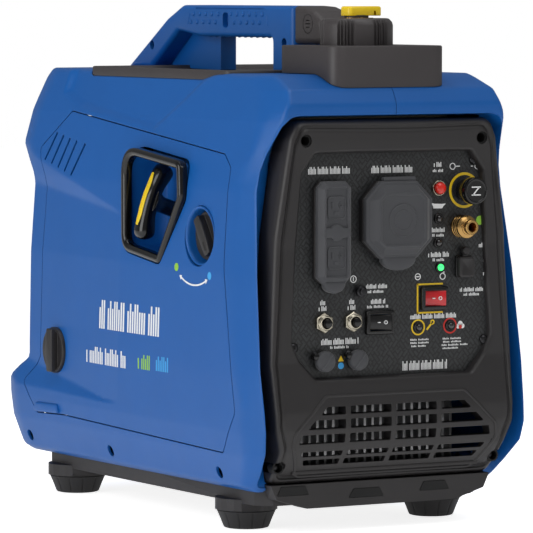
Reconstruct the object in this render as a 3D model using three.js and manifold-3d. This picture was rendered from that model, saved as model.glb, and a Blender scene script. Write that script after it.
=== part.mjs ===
// Portable inverter generator, in millimetres.
// +X is to the right of someone who faces the control panel, the panel faces -Y, and +Z is up.
// The origin is on the floor, under the middle of the body.
import * as THREE from "three";
import { ConvexGeometry } from "three/addons/geometries/ConvexGeometry.js";
import { mergeVertices } from "three/addons/utils/BufferGeometryUtils.js";
import Module from "manifold-3d";

const wasm = await Module();
wasm.setup();

// ---------------------------------------------------------------- driving dimensions

const gap = 0.4; // left between two pieces that touch
const seam = 0.8; // visible joint line between two body panels
const wall = 3; // moulded walls
const far = 1000; // beyond every face, for cuts that go right through

const bodyHalfWidth = 139.5;
const frontReach = 240;
const rearReach = 246;
const shellBottom = 35;
const shellTop = 398;

const footHeight = 16;
const footTopRadius = 26;
const footBottomRadius = 19.5;
const footSpread = 95;
const footFrontSetIn = 98.5; // from the front of the body to the front feet's axes
const footRearSetIn = 66;

const handleHalfWidth = 19;
const handleRise = 57; // above the top of the shells
const gripDepth = 28.5;

const neckRadius = 24;
const capRadius = 32;
const capHeight = 42;
const capSetIn = 70.5; // from the front of the body to the filler cap's axis

const panelHeight = 193;
const panelHalfWidth = 100;
const panelThickness = 2.5;

const shaftLevel = 188; // height of the crankshaft
const pulleyRadius = 42.5;
const pulleyPlane = -24; // where the pulley and the starter rope lie along Y
const ropeRadius = 2;
const gripLean = THREE.MathUtils.degToRad(20);
const gripSetIn = 15.5; // from the side of the body to the starter grip's middle

// ---------------------------------------------------------------- levels and lines that follow from them

const lowerBulge = shellBottom + 55;
const waist = shellTop - 101;
const brow = shellTop - 72;
const front = -frontReach;
const rear = rearReach;
const handleTop = shellTop + handleRise;
const panelFace = front + 14;
const panelTop = shellTop - 69;
const panelBottom = panelTop - panelHeight;
const panelMiddle = panelTop - 101.5; // height that the controls are set out from

// The rope leaves the pulley's top square to the leaning grip, and that sets how high the grip is.
const ropeOffset = pulleyRadius + ropeRadius + gap;
const gripReach = bodyHalfWidth - gripSetIn;
const gripLevel = shaftLevel + ropeOffset / Math.cos(gripLean) + gripReach * Math.tan(gripLean);

const mufflerSpan = [rear - 104, rear - 56];
const blockRear = mufflerSpan[0] - 24;

// ---------------------------------------------------------------- making solids

const root = new THREE.Group();

function finish(color, roughness, metalness = 0) {
  return new THREE.MeshStandardMaterial({ color, roughness, metalness });
}

const bluePlastic = finish(0x1f5da6, 0.42);
const blackPlastic = finish(0x2b292a, 0.5);
const greyPlastic = finish(0x4a494b, 0.6);
const softCover = finish(0x4b4c50, 0.7);
const panelSheet = finish(0x27282b, 0.45);
const rubber = finish(0x1d1c1d, 0.85);
const yellowPlastic = finish(0xf2d21b, 0.4);
const redPlastic = finish(0xd5301f, 0.35);
const glossBlack = finish(0x111112, 0.15);
const nickel = finish(0xb9b6ac, 0.3, 1);
const brass = finish(0xc79a3e, 0.28, 1);
const castAluminium = finish(0x9a9b9d, 0.5, 1);
const steel = finish(0x8c8e90, 0.35, 1);
const tankPlastic = finish(0xd8d5c8, 0.55);
const ropeFibre = finish(0x2a2a2c, 0.9);

// A closed geometry as a solid that can be joined and cut.
function solid(geometry) {
  const bare = geometry.index ? geometry.toNonIndexed() : geometry.clone();
  bare.deleteAttribute("normal");
  bare.deleteAttribute("uv");
  const merged = mergeVertices(bare, 1e-4);
  return new wasm.Manifold(
    new wasm.Mesh({
      numProp: 3,
      vertProperties: merged.attributes.position.array,
      triVerts: new Uint32Array(merged.index.array),
    }),
  );
}

// A solid back as a geometry.
function geometryOf(body) {
  const mesh = body.getMesh();
  const geometry = new THREE.BufferGeometry();
  geometry.setAttribute("position", new THREE.BufferAttribute(mesh.vertProperties, 3));
  geometry.setIndex(new THREE.BufferAttribute(mesh.triVerts, 1));
  geometry.computeVertexNormals();
  return geometry;
}

// Adds a solid to the model as a named piece, set at a place.
function piece(name, body, material, place = [0, 0, 0]) {
  const mesh = new THREE.Mesh(geometryOf(body), material);
  mesh.name = name;
  mesh.position.set(...place);
  root.add(mesh);
  return mesh;
}

// The turns that carry an outline's own x, y and depth onto (y, z, x), (x, z, -y) and (x, y, z).
const outlineTurns = {
  x: new THREE.Matrix4().set(0, 0, 1, 0, 1, 0, 0, 0, 0, 1, 0, 0, 0, 0, 0, 1),
  y: new THREE.Matrix4().set(1, 0, 0, 0, 0, 0, -1, 0, 0, 1, 0, 0, 0, 0, 0, 1),
  z: new THREE.Matrix4(),
};

// An outline pushed along an axis. The outline is in (y, z) for x, (x, z) for y and (x, y) for z.
function prism(axis, points, from, to) {
  const shape = new THREE.Shape(points.map(([a, b]) => new THREE.Vector2(a, b)));
  const geometry = new THREE.ExtrudeGeometry(shape, { depth: to - from, bevelEnabled: false });
  geometry.translate(0, 0, axis === "y" ? -to : from);
  geometry.applyMatrix4(outlineTurns[axis]);
  return solid(geometry);
}

function block([x0, x1], [y0, y1], [z0, z1]) {
  const geometry = new THREE.BoxGeometry(x1 - x0, y1 - y0, z1 - z0);
  geometry.translate((x0 + x1) / 2, (y0 + y1) / 2, (z0 + z1) / 2);
  return solid(geometry);
}

// A regular polygon standing for a circle.
function circle([a, b], radius, sides = 24) {
  return Array.from({ length: sides }, (_, i) => {
    const turn = (2 * Math.PI * (i + 0.5)) / sides;
    return [a + radius * Math.cos(turn), b + radius * Math.sin(turn)];
  });
}

function rod(axis, centre, radius, from, to, sides = 24) {
  return prism(axis, circle(centre, radius, sides), from, to);
}

// A profile of (radius, height) points, listed upwards, turned round the Z axis.
function turned(profile, sides = 28) {
  const points = profile.map(([radius, height]) => new THREE.Vector2(radius, height));
  return solid(new THREE.LatheGeometry(points, sides).rotateX(Math.PI / 2));
}

function rectangle(centreA, centreB, width, height, corner = 0) {
  const [a, b] = [width / 2, height / 2];
  if (!corner)
    return [[centreA - a, centreB - b], [centreA + a, centreB - b],
      [centreA + a, centreB + b], [centreA - a, centreB + b]];
  return [
    [a, -b + corner], [a, b - corner], [a - corner, b], [-a + corner, b],
    [-a, b - corner], [-a, -b + corner], [-a + corner, -b], [a - corner, -b],
  ].map(([p, q]) => [centreA + p, centreB + q]);
}

// An anticlockwise outline moved inwards, or outwards where the distance is negative.
function inset(points, distance) {
  const edge = (p, q) => {
    const length = Math.hypot(q[0] - p[0], q[1] - p[1]);
    return [-(q[1] - p[1]) / length, (q[0] - p[0]) / length];
  };
  return points.map((point, i) => {
    const before = edge(points.at(i - 1), point);
    const after = edge(point, points[(i + 1) % points.length]);
    const reach = distance / (1 + before[0] * after[0] + before[1] * after[1]);
    return [point[0] + reach * (before[0] + after[0]), point[1] + reach * (before[1] + after[1])];
  });
}

// The right half of an outline, listed upwards, with its mirror image.
function mirrored(half) {
  return [...half, ...half.map(([a, b]) => [-a, b]).reverse()];
}

function joined(bodies) {
  return bodies.reduce((whole, body) => whole.add(body));
}

function cutBy(body, tools) {
  return tools.reduce((rest, tool) => rest.subtract(tool), body);
}

// ---------------------------------------------------------------- the body's outer form

const sideOutline = [
  [front + 44, shellBottom],
  [rear - 25, shellBottom],
  [rear - 10, shellBottom + 8],
  [rear, lowerBulge + 17],
  [rear - 34, lowerBulge + 38],
  [rear - 31, waist],
  [rear - 4, brow],
  [rear - 18, shellTop - 8],
  [rear - 28, shellTop],
  [front + 45, shellTop],
  [front + 10, shellTop - 14],
  [front + 3, shellTop - 26],
  [front + 4, shellTop - 40],
  [front + 22, panelTop],
  [front + 29, waist],
  [front + 18, waist - 71],
  [front, lowerBulge],
  [front + 4, lowerBulge - 16],
  [front + 22, shellBottom + 20],
  [front + 40, shellBottom + 6],
];

const frontOutline = mirrored([
  [bodyHalfWidth - 21.5, shellBottom],
  [bodyHalfWidth - 12, shellBottom + 7],
  [bodyHalfWidth - 2, lowerBulge - 20],
  [bodyHalfWidth, lowerBulge],
  [bodyHalfWidth, lowerBulge + 50],
  [bodyHalfWidth - 2, lowerBulge + 136],
  [bodyHalfWidth - 8.5, waist],
  [bodyHalfWidth - 19.5, shellTop - 41],
  [bodyHalfWidth - 23.5, shellTop - 30],
  [bodyHalfWidth - 35.5, shellTop],
]);

const planOutline = mirrored([
  [bodyHalfWidth - 8.5, front - 1],
  [bodyHalfWidth, front + 38],
  [bodyHalfWidth, rear - 25],
  [bodyHalfWidth - 6, rear + 1],
]);

// The side of the body is set back towards its rear, between the two bulges.
const setBackStart = 45; // where the lower edge of the set-back begins
const setBackEnd = rear + 10;
const setBackDepth = 10;

function waistWedge(side, depth) {
  const upperStart = setBackStart - 25;
  const reachOut = 20;
  const surface = bodyHalfWidth - depth;
  const corner = (out, y, z) => new THREE.Vector3(side * (surface + out), y, z);
  return solid(
    new ConvexGeometry([
      corner(0, upperStart, waist - 29 - depth),
      corner(0, setBackStart, lowerBulge + 8 + depth),
      corner(-setBackDepth, setBackEnd, waist - depth),
      corner(-setBackDepth, setBackEnd, lowerBulge + 38 + depth),
      corner(reachOut, upperStart, brow - depth),
      corner(reachOut, setBackStart, shellBottom + 20 + depth),
      corner(reachOut, setBackEnd, waist + 87 - depth),
      corner(reachOut, setBackEnd, lowerBulge - 25 + depth),
    ]),
  );
}

// How far the side is set back at a place along Y, at the least.
function setBackAt(y) {
  return (setBackDepth * (y - setBackStart)) / (setBackEnd - setBackStart);
}

// The body's form, moved inwards by a depth.
function form(depth) {
  const whole = prism("x", inset(sideOutline, depth), -far, far)
    .intersect(prism("y", inset(frontOutline, depth), -far, far))
    .intersect(prism("z", inset(planOutline, depth), 0, far * 2));
  return cutBy(whole, [waistWedge(-1, depth), waistWedge(1, depth)]);
}

const outerForm = form(0);
const grownForm = form(-gap); // what stands on the body is cut by this
const skin = outerForm.subtract(form(wall));

// ---------------------------------------------------------------- outlines that pieces share

const bezelOutline = mirrored([
  [bodyHalfWidth - 28.5, shellBottom + 9],
  [bodyHalfWidth - 25.5, lowerBulge - 16],
  [bodyHalfWidth - 19.5, lowerBulge + 1],
  [bodyHalfWidth - 17.5, lowerBulge + 60],
  [bodyHalfWidth - 23.5, waist - 38],
  [bodyHalfWidth - 35.5, shellTop - 56],
  [bodyHalfWidth - 42.5, shellTop - 40],
]);

const windowOutline = mirrored([
  [panelHalfWidth - 22, panelBottom],
  [panelHalfWidth - 7, panelBottom + 17],
  [panelHalfWidth, panelBottom + 32],
  [panelHalfWidth - 9, panelTop - 18],
  [panelHalfWidth - 22, panelTop],
]);

const apronOutline = mirrored([
  [75, shellBottom - 13],
  [bodyHalfWidth - 34.5, shellBottom - 4],
  [bodyHalfWidth - 28.5, shellBottom + 9 - gap],
]);

const rearOutline = mirrored([
  [bodyHalfWidth - 40, shellBottom + 30],
  [bodyHalfWidth - 27, lowerBulge + 30],
  [bodyHalfWidth - 27, waist],
  [bodyHalfWidth - 45, brow + 24],
]);

const doorOutline = [
  [front + 64, lowerBulge - 19],
  [rear - 122, lowerBulge - 11],
  [rear - 68, lowerBulge - 13],
  [rear - 41, lowerBulge + 15],
  [rear - 64, lowerBulge + 38],
  [rear - 64, waist],
  [rear - 54, brow - 4],
  [rear - 106, shellTop - 41],
  [front + 82, panelTop - 2],
  [front + 68, panelTop - 13],
  [front + 65, waist - 64],
  [front + 40, lowerBulge + 17],
];

const trayHalfWidth = bodyHalfWidth - 27.5;
const trayOutline = rectangle(0, (front + rear) / 2 + 4, 2 * trayHalfWidth, frontReach + rearReach - 76, 12);
const topCoverFront = front + 118;
const topCoverRear = rear - 106;
const topCoverOutline = rectangle(
  0,
  (topCoverFront + topCoverRear) / 2,
  2 * (bodyHalfWidth - 37),
  topCoverRear - topCoverFront,
  10,
);

// ---------------------------------------------------------------- base, feet and body panels

const footPlaces = {
  foot_front_left: [-footSpread, front + footFrontSetIn],
  foot_front_right: [footSpread, front + footFrontSetIn],
  foot_rear_left: [-footSpread, rear - footRearSetIn],
  foot_rear_right: [footSpread, rear - footRearSetIn],
};

const foot = turned([
  [0, 0],
  [footBottomRadius - 1.5, 0],
  [footBottomRadius, 1.5],
  [footTopRadius, footHeight - 3],
  [footTopRadius, footHeight],
  [0, footHeight],
]);
for (const [name, [x, y]] of Object.entries(footPlaces)) piece(name, foot, rubber, [x, y, 0]);

const trayFloor = shellBottom - 11;
const trayRim = shellBottom + 17;
const footBosses = Object.values(footPlaces).map((place) =>
  rod("z", place, footTopRadius + 1.5, footHeight + gap, trayFloor + wall),
);
const trayPan = prism("z", trayOutline, trayFloor, trayRim).subtract(
  prism("z", inset(trayOutline, wall), trayFloor + wall, trayRim + 1),
);
const apron = prism("y", apronOutline, front + 27, front + 44);
piece("base_tray", joined([trayPan, apron, ...footBosses]), greyPlastic);

const neckAxis = [0, front + capSetIn];
const shellCuts = [
  prism("y", inset(bezelOutline, -gap), -far, front + 60),
  prism("y", inset(apronOutline, -gap), -far, front + 60),
  prism("y", inset(rearOutline, -gap), rear - 90, far),
  prism("x", inset(doorOutline, -seam), -far, -bodyHalfWidth / 2),
  prism("z", inset(trayOutline, -gap), 0, shellBottom + wall + 1),
  prism("z", inset(topCoverOutline, -gap), shellTop - 30, far * 2),
  rod("z", neckAxis, neckRadius + 5, shellTop - 30, far * 2),
];
const shell = cutBy(skin, shellCuts);
const leftSide = block([-far, -gap / 2], [-far, far], [0, far * 2]);
const rightSide = block([gap / 2, far], [-far, far], [0, far * 2]);
piece("left_shell", shell.intersect(leftSide), bluePlastic);
piece("right_shell", shell.intersect(rightSide), bluePlastic);

// ---------------------------------------------------------------- front bezel with its grille

// The bezel seen from the side, from its face to a given depth.
function bezelProfile(back) {
  return [
    [front + 28, shellBottom + 9],
    [back, shellBottom + 9],
    [back, shellTop - 40],
    [front + 6, shellTop - 40],
    [front + 4, shellTop - 50],
    [front + 6, panelTop - 10],
    [front + 9, waist - 50],
    [front + 8, lowerBulge + 60],
    [front + 1, lowerBulge + 18],
    [front + 1, lowerBulge],
    [front + 5, lowerBulge - 15],
    [front + 18, lowerBulge - 30],
  ];
}

const bezelBack = front + 38;
const bezelBlock = prism("y", bezelOutline, -far, far).intersect(prism("x", bezelProfile(bezelBack), -far, far));
const bezelPocket = prism("y", inset(bezelOutline, wall), -far, far).intersect(
  prism("x", inset(bezelProfile(bezelBack + 20), wall), -far, far),
);
const windowCollar = prism("y", inset(windowOutline, -wall), front + 5, panelFace - gap).intersect(bezelBlock);

const grilleHalfWidth = bodyHalfWidth - 42.5;
const grilleOutline = mirrored([
  [grilleHalfWidth - 13.5, shellBottom + 22],
  [grilleHalfWidth, lowerBulge - 10],
  [grilleHalfWidth - 2, lowerBulge - 2],
  [grilleHalfWidth - 31, lowerBulge + 25],
]);
const grilleRows = [
  [lowerBulge - 29, lowerBulge - 24],
  [lowerBulge - 21, lowerBulge - 16.5],
  [lowerBulge - 9.5, lowerBulge - 1.5],
  [lowerBulge + 3, lowerBulge + 11],
  [lowerBulge + 15, lowerBulge + 22],
];
const grilleBars = [-49, -3, 43];
const grilleBarWidth = 5;
const grilleEnds = [-far, ...grilleBars, far];
const grilleSlots = grilleRows.flatMap(([low, high]) =>
  grilleEnds.slice(1).map((end, i) =>
    block([grilleEnds[i] + grilleBarWidth / 2, end - grilleBarWidth / 2], [front - 5, front + 30], [low, high]),
  ),
);
const grilleCut = joined(grilleSlots).intersect(prism("y", grilleOutline, -far, far));

const bezelScrewRadius = 6;
const bezelScrews = [
  [bodyHalfWidth - 50.8, shellTop - 57.5],
  [bodyHalfWidth - 30.5, lowerBulge - 30],
];
const bezelScrewCuts = bezelScrews.flatMap(([x, z]) =>
  [-x, x].map((place) => rod("y", [place, z], bezelScrewRadius, -far, bezelBack + 5, 16)),
);
const bezel = cutBy(bezelBlock.subtract(bezelPocket).add(windowCollar), [
  prism("y", windowOutline, -far, far),
  grilleCut,
  ...bezelScrewCuts,
]);
piece("front_bezel", bezel, blackPlastic);

// ---------------------------------------------------------------- side door, rear cover and top

const ringOutline = [
  [-35, -53.9],
  [19, -46.9],
  [36.5, -30.9],
  [36.5, 24.1],
  [24, 41.1],
  [0, 47.1],
  [-66, 40.1],
  [-74, 34.1],
  [-76, 5.1],
].map(([along, level]) => [pulleyPlane + along, gripLevel + level]);
const ringWidth = 7.5;
const selectorCentre = [front + 111, waist - 41.5];
const selectorDishRadius = 26;
const lockCentre = [rear - 98.3, lowerBulge + 46.5];
const lockStemRadius = 6;

const door = cutBy(skin.intersect(prism("x", doorOutline, -far, -bodyHalfWidth / 2)), [
  prism("x", inset(ringOutline, -seam), -far, 0),
  rod("x", selectorCentre, selectorDishRadius + seam, -far, 0, 32),
  rod("x", lockCentre, lockStemRadius + gap, -far, 0),
]);
piece("service_door", door, bluePlastic);

// The quarter-turn knob stands on the door where the side is set back, with its stem through the door.
const lockRadius = 21.5;
const lockFace = -(bodyHalfWidth + 2.2);
const lockBack = -(bodyHalfWidth - setBackAt(lockCentre[0] - lockRadius) + gap); // clear of the door
const lockKnob = joined([
  rod("x", lockCentre, lockRadius, lockFace + 3.5, lockBack),
  prism("x", rectangle(...lockCentre, 11, 2 * lockRadius - 3, 3), lockFace, lockBack),
  rod("x", lockCentre, lockStemRadius, lockFace + 2, lockBack + 9),
]);
piece("door_lock_knob", lockKnob, blackPlastic);

const exhaustCentre = [55, waist - 47];
const exhaustRadius = 13;
const louvreCount = 7;
const louvrePitch = 17;
const rearLouvres = Array.from({ length: louvreCount }, (_, i) => {
  const level = lowerBulge + 45 + i * louvrePitch;
  return block([-90, 15], [rear - 90, far], [level, level + 8]);
});
const rearPanel = cutBy(skin.intersect(prism("y", rearOutline, rear - 90, far)), [
  rod("y", exhaustCentre, exhaustRadius + 9, rear - 90, far),
  ...rearLouvres,
]);
piece("rear_cover", rearPanel, blackPlastic);

const topCoverFloor = shellTop - 10;
const topCover = prism("z", topCoverOutline, topCoverFloor, shellTop + 1);
const topTray = prism("z", inset(topCoverOutline, 9), shellTop - 3, far);
piece("top_cover", topCover.subtract(topTray), blackPlastic);

// ---------------------------------------------------------------- filler surround, tank and cap

const surroundTop = shellTop + 23;
const surroundRear = front + 111;
const surroundOutline = mirrored([
  [50, front + 12],
  [57, front + 21],
  [57, surroundRear],
]);
const surroundWell = capRadius + 3;
const surround = cutBy(prism("z", surroundOutline, shellTop - 17, surroundTop), [
  grownForm,
  rod("z", neckAxis, surroundWell, 0, far * 2, 32),
  prism("z", inset(topCoverOutline, -gap), 0, shellTop + 1 + gap),
]);
piece("filler_surround", surround, blackPlastic);

const neckTop = shellTop + 14;
const tankBottom = shellTop - 96;
const tankTop = shellTop - 18;
const tankOutline = rectangle(0, front + 172, 172, 256, 14);
const tankWall = 2.5;
const tank = cutBy(
  joined([
    prism("z", tankOutline, tankBottom, tankTop),
    rod("z", neckAxis, neckRadius, tankTop - 1, neckTop, 28),
  ]),
  [
    prism("z", inset(tankOutline, tankWall), tankBottom + tankWall, tankTop - tankWall),
    rod("z", neckAxis, neckRadius - tankWall, tankTop - 5, neckTop + 1, 28),
  ],
);
piece("fuel_tank", tank, tankPlastic);

// The cap and its plug are turned about the neck's axis and set there by their own places.
const capPlace = [...neckAxis, neckTop];
const plugRadius = neckRadius - tankWall - 1;
const plugRim = capRadius - 7; // inside the cap's skirt
piece(
  "cap_plug",
  turned([[0, -14], [plugRadius, -14], [plugRadius, gap], [plugRim, gap], [plugRim, 5], [0, 5]]),
  blackPlastic,
  capPlace,
);

const capTop = capHeight - 9.4;
const capSkirt = turned([
  [capRadius - 4, -9],
  [capRadius, -9],
  [capRadius, capTop - 2.5],
  [capRadius - 2.5, capTop],
  [0, capTop],
  [0, capTop - 10],
  [capRadius - 4, capTop - 10],
  [capRadius - 4, -9],
]);
const capFluteCount = 12;
const capFlutes = Array.from({ length: capFluteCount }, (_, i) => {
  const turn = (2 * Math.PI * i) / capFluteCount;
  const centre = [(capRadius + 1.5) * Math.cos(turn), (capRadius + 1.5) * Math.sin(turn)];
  return rod("z", centre, 3, -10, capTop - 5, 8);
});
piece("fuel_cap", cutBy(capSkirt, capFlutes), blackPlastic, capPlace);

const ventLever = joined([
  rod("z", [0, 0], 11, capTop + gap, capTop + 9, 20),
  prism("z", rectangle(9, 0, 26, 13, 3), capTop + gap + 2, capTop + 9),
]);
piece("vent_lever", ventLever, yellowPlastic, capPlace);

// ---------------------------------------------------------------- carrying handle

const gripUnderside = handleTop - gripDepth;
const frontSeat = shellTop - 3 + gap; // on the floor of the top cover
const rearSeat = shellTop + 1 + gap; // clear of the top cover's rim
const handleFront = surroundRear + 38;
const handleRear = rear - 29;
const frontLegRear = handleFront + 38;
const gripRear = handleRear - 93;
const rearLegFront = handleRear - 46;
const handleOutline = [
  [handleFront, frontSeat],
  [frontLegRear, frontSeat],
  [frontLegRear, gripUnderside],
  [gripRear - 40, gripUnderside],
  [gripRear, gripUnderside + 5],
  [rearLegFront, rearSeat],
  [handleRear, rearSeat],
  [handleRear - 83, handleTop - 11],
  [handleRear - 113, handleTop],
  [handleFront, handleTop],
];

// The gap behind the right half's grip ends in an upright web, and the left half's slants.
const gripWebFront = handleRear - 141;
const handleWeb = [
  [gripWebFront, rearSeat],
  [rearLegFront, rearSeat],
  [gripRear, gripUnderside + 6],
  [gripWebFront, gripUnderside + 6],
];
piece("handle_left_half", prism("x", handleOutline, -handleHalfWidth, -gap / 2), bluePlastic);
piece(
  "handle_right_half",
  joined([handleOutline, handleWeb].map((outline) => prism("x", outline, gap / 2, handleHalfWidth))),
  bluePlastic,
);

const endCapFront = handleFront - 56;
const endCapOutline = [
  [handleFront - gap, surroundTop + gap],
  [handleFront - gap, handleTop],
  [handleFront - 18, handleTop - 1.5],
  [endCapFront + 20, handleTop - 6],
  [endCapFront + 7, handleTop - 15],
  [endCapFront + 2, surroundTop + gap],
];
const endCap = prism("x", endCapOutline, -handleHalfWidth, handleHalfWidth).subtract(
  rod("z", neckAxis, capRadius + 1.5, 0, far * 2),
);
piece("handle_end_cap", endCap, blackPlastic);

// ---------------------------------------------------------------- recoil starter

const ringFront = -(bodyHalfWidth - 1.5);
const cupFront = ringFront + 8.5;
const cupBack = -(bodyHalfWidth - 48);
const ring = prism("x", ringOutline, ringFront, cupFront - gap).subtract(
  prism("x", inset(ringOutline, ringWidth), -far, 0),
);
piece("starter_ring", ring, glossBlack);

const cupHoleLevel = gripLevel - (cupBack + gripReach) * Math.tan(gripLean);
const cup = cutBy(prism("x", inset(ringOutline, 3), cupFront, cupBack), [
  prism("x", inset(ringOutline, 5.5), -far, cupBack - 2.5),
  prism("x", rectangle(pulleyPlane, cupHoleLevel, 10, 16, 3), -far, 0),
]);
piece("starter_cup", cup, bluePlastic);

// The grip's own frame: X runs out along the rope, Z along the bar.
const starter = new THREE.Group();
starter.position.set(-gripReach, pulleyPlane, gripLevel);
starter.rotation.y = Math.PI + gripLean;
root.add(starter);

const ropeTangent = new THREE.Vector2(Math.sin(gripLean), Math.cos(gripLean)).multiplyScalar(ropeOffset);
const ropeLength = Math.hypot(gripReach + ropeTangent.x, gripLevel - shaftLevel - ropeTangent.y);
const gripLength = 70;
const gripThickness = 16;
const bar = prism("y", rectangle(0, 0, gripThickness, gripLength, 5), -11, 11);
const gripStem = rod("x", [0, 0], 7, -26, 0, 16);
const insertSeat = block([gripThickness / 2 - 1.6, far], [-5.5, 5.5], [-gripLength / 2 + 8, gripLength / 2 - 8]);
const ropeBore = rod("x", [0, 0], ropeRadius + gap, -far, -14, 12);
const insertPlate = block(
  [gripThickness / 2 - 1.2, gripThickness / 2 + 0.8],
  [-5.5 + gap, 5.5 - gap],
  [-gripLength / 2 + 8 + gap, gripLength / 2 - 8 - gap],
);
for (const [name, body, material] of [
  ["starter_grip", cutBy(joined([bar, gripStem]), [insertSeat, ropeBore]), glossBlack],
  ["starter_grip_insert", insertPlate, yellowPlastic],
  ["starter_rope", rod("x", [0, 0], ropeRadius, -ropeLength, -15, 10), ropeFibre],
])
  starter.add(piece(name, body, material));

// The machinery turns about the crankshaft's line, which runs along Y.
const crank = new THREE.Group();
crank.position.set(0, 0, shaftLevel);
crank.rotation.x = -Math.PI / 2; // a turned piece's own Z becomes +Y
root.add(crank);

const spindleRadius = 6;
const housingRadius = 62;
const crankPieces = {
  recoil_housing: [
    joined([
      rod("z", [0, 0], housingRadius, pulleyPlane - 12, pulleyPlane - 9, 32),
      rod("z", [0, 0], spindleRadius, pulleyPlane - 10, pulleyPlane + 6),
    ]),
    steel,
  ],
  rope_pulley: [
    rod("z", [0, 0], pulleyRadius, pulleyPlane - 4.5, pulleyPlane + 4.5, 32).subtract(
      rod("z", [0, 0], spindleRadius + gap, -far, far),
    ),
    blackPlastic,
  ],
  flywheel_rotor: [
    turned([
      [8 + gap, -6], [60, -6], [60, 36], [52, 36], [52, 2], [8 + gap, 2], [8 + gap, -6],
    ], 32),
    steel,
  ],
  stator: [
    turned([[14, 6], [48, 6], [48, 38], [14, 38], [14, 6]], 32),
    castAluminium,
  ],
  crankshaft: [rod("z", [0, 0], 8, -12, blockRear + 4, 20), steel],
};
for (const [name, [body, material]] of Object.entries(crankPieces)) crank.add(piece(name, body, material));

// ---------------------------------------------------------------- fuel selector

const selectorFloor = -(bodyHalfWidth - 19);
const selectorFront = -(bodyHalfWidth - 5.5);
const selectorStemRadius = 4;
const dish = cutBy(rod("x", selectorCentre, selectorDishRadius, selectorFront, selectorFloor + 2.5, 32), [
  rod("x", selectorCentre, selectorDishRadius - 2.5, -far, selectorFloor, 32),
  rod("x", selectorCentre, selectorStemRadius + gap, -far, 0),
]);
piece("selector_dish", dish, bluePlastic);
const valveFront = selectorFloor + 14;
const selectorKnob = joined([
  rod("x", selectorCentre, 17, selectorFloor - 8, selectorFloor - 2),
  prism("x", rectangle(...selectorCentre, 10, 40, 3), selectorFloor - 13, selectorFloor - 3),
  rod("x", selectorCentre, selectorStemRadius, selectorFloor - 3, valveFront - gap, 16),
]);
piece("fuel_selector_knob", selectorKnob, blackPlastic);
piece(
  "fuel_valve",
  block([valveFront, valveFront + 18], [selectorCentre[0] - 12, selectorCentre[0] + 12],
    [selectorCentre[1] - 14, selectorCentre[1] + 14]),
  brass,
);

// ---------------------------------------------------------------- control panel and what is on it

// A place on the panel: across in hundredths of its half width, and up in millimetres from its middle.
const onPanel = (x, level) => [(x / 100) * panelHalfWidth, panelMiddle + level];
const seat = panelFace - gap; // where the pieces' flanges bear on the panel
const behind = panelFace + panelThickness + 18;
const panelCuts = [];

// A piece's neck through the panel, cut out of the panel with a clearance.
function throughPanel(outline, to = behind) {
  panelCuts.push(prism("y", inset(outline, -gap), -far, far));
  return prism("y", outline, seat - 1, to);
}

// A receptacle with a flange and sockets' box, and a lid that is hinged along its top.
const receptacles = [
  {
    name: "duplex", at: onPanel(-61, 34), width: 33, height: 88, corner: 5, flange: 4, lid: 10, draft: 1.5,
    tab: [24, 10],
  },
  {
    name: "rv", at: onPanel(2.5, 43.5), width: 67, height: 67, corner: 16, flange: 6, lid: 13, draft: 9,
    tab: [34, 10],
  },
];
for (const { name, at, width, height, corner, flange, lid, draft, tab } of receptacles) {
  const outline = rectangle(...at, width, height, corner);
  const box = rectangle(...at, width - 8, height - 12, corner - 3);
  const lidBase = seat - flange - gap;
  const lidFront = lidBase - lid;
  const rim = inset(outline, draft);
  const crown = [
    ...outline.flatMap(([x, z]) => [[x, lidBase, z], [x, lidBase - lid / 2, z]]),
    ...rim.map(([x, z]) => [x, lidFront, z]),
  ].map((point) => new THREE.Vector3(...point));
  const tabOutline = rectangle(at[0], at[1] - height / 2 - 3, ...tab, 3);
  const lidShell = joined([solid(new ConvexGeometry(crown)), prism("y", tabOutline, lidFront + 2, lidBase)]);
  const hollow = prism("y", inset(outline, draft + 3), lidFront + 3, lidBase + 1);
  piece(`${name}_receptacle`, joined([prism("y", outline, seat - flange, seat), throughPanel(box)]), blackPlastic);
  piece(`${name}_cover`, lidShell.subtract(hollow), softCover);
}

const switches = [
  { name: "eco", at: onPanel(-11, -45.5), width: 28, height: 21, color: blackPlastic },
  { name: "engine", at: onPanel(44.5, -26.5), width: 27, height: 20.5, color: redPlastic },
];
const rockerWidth = 21;
const rockerHeight = 13;
const rockerTilt = THREE.MathUtils.degToRad(8);
const switchFrame = 4;
for (const { name, at, width, height, color } of switches) {
  const opening = rectangle(...at, rockerWidth + 2 * gap, rockerHeight + 2 * gap);
  const body = joined([
    prism("y", rectangle(...at, width, height, 2), seat - switchFrame, seat),
    throughPanel(rectangle(...at, width - 4, height - 4)),
  ]).subtract(prism("y", opening, -far, seat + 6));
  piece(`${name}_switch_body`, body, blackPlastic);
  // The rocker is two faces that meet at a shallow angle, turned so that one end is pressed in.
  const rise = (rockerWidth / 2) * Math.tan(rockerTilt);
  const rocker = prism("z", [
    [-rockerWidth / 2 + 1, -2.5 + rise],
    [-rockerWidth / 2 + 1, -3.5 - rise],
    [0, -3.5],
    [rockerWidth / 2 - 1, -3.5 - rise],
    [rockerWidth / 2 - 1, -2.5 + rise],
    [0, 1],
  ], -rockerHeight / 2, rockerHeight / 2);
  const mesh = piece(`${name}_rocker`, rocker, color, [at[0], seat + 1, at[1]]);
  mesh.rotation.z = rockerTilt;
}

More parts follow.
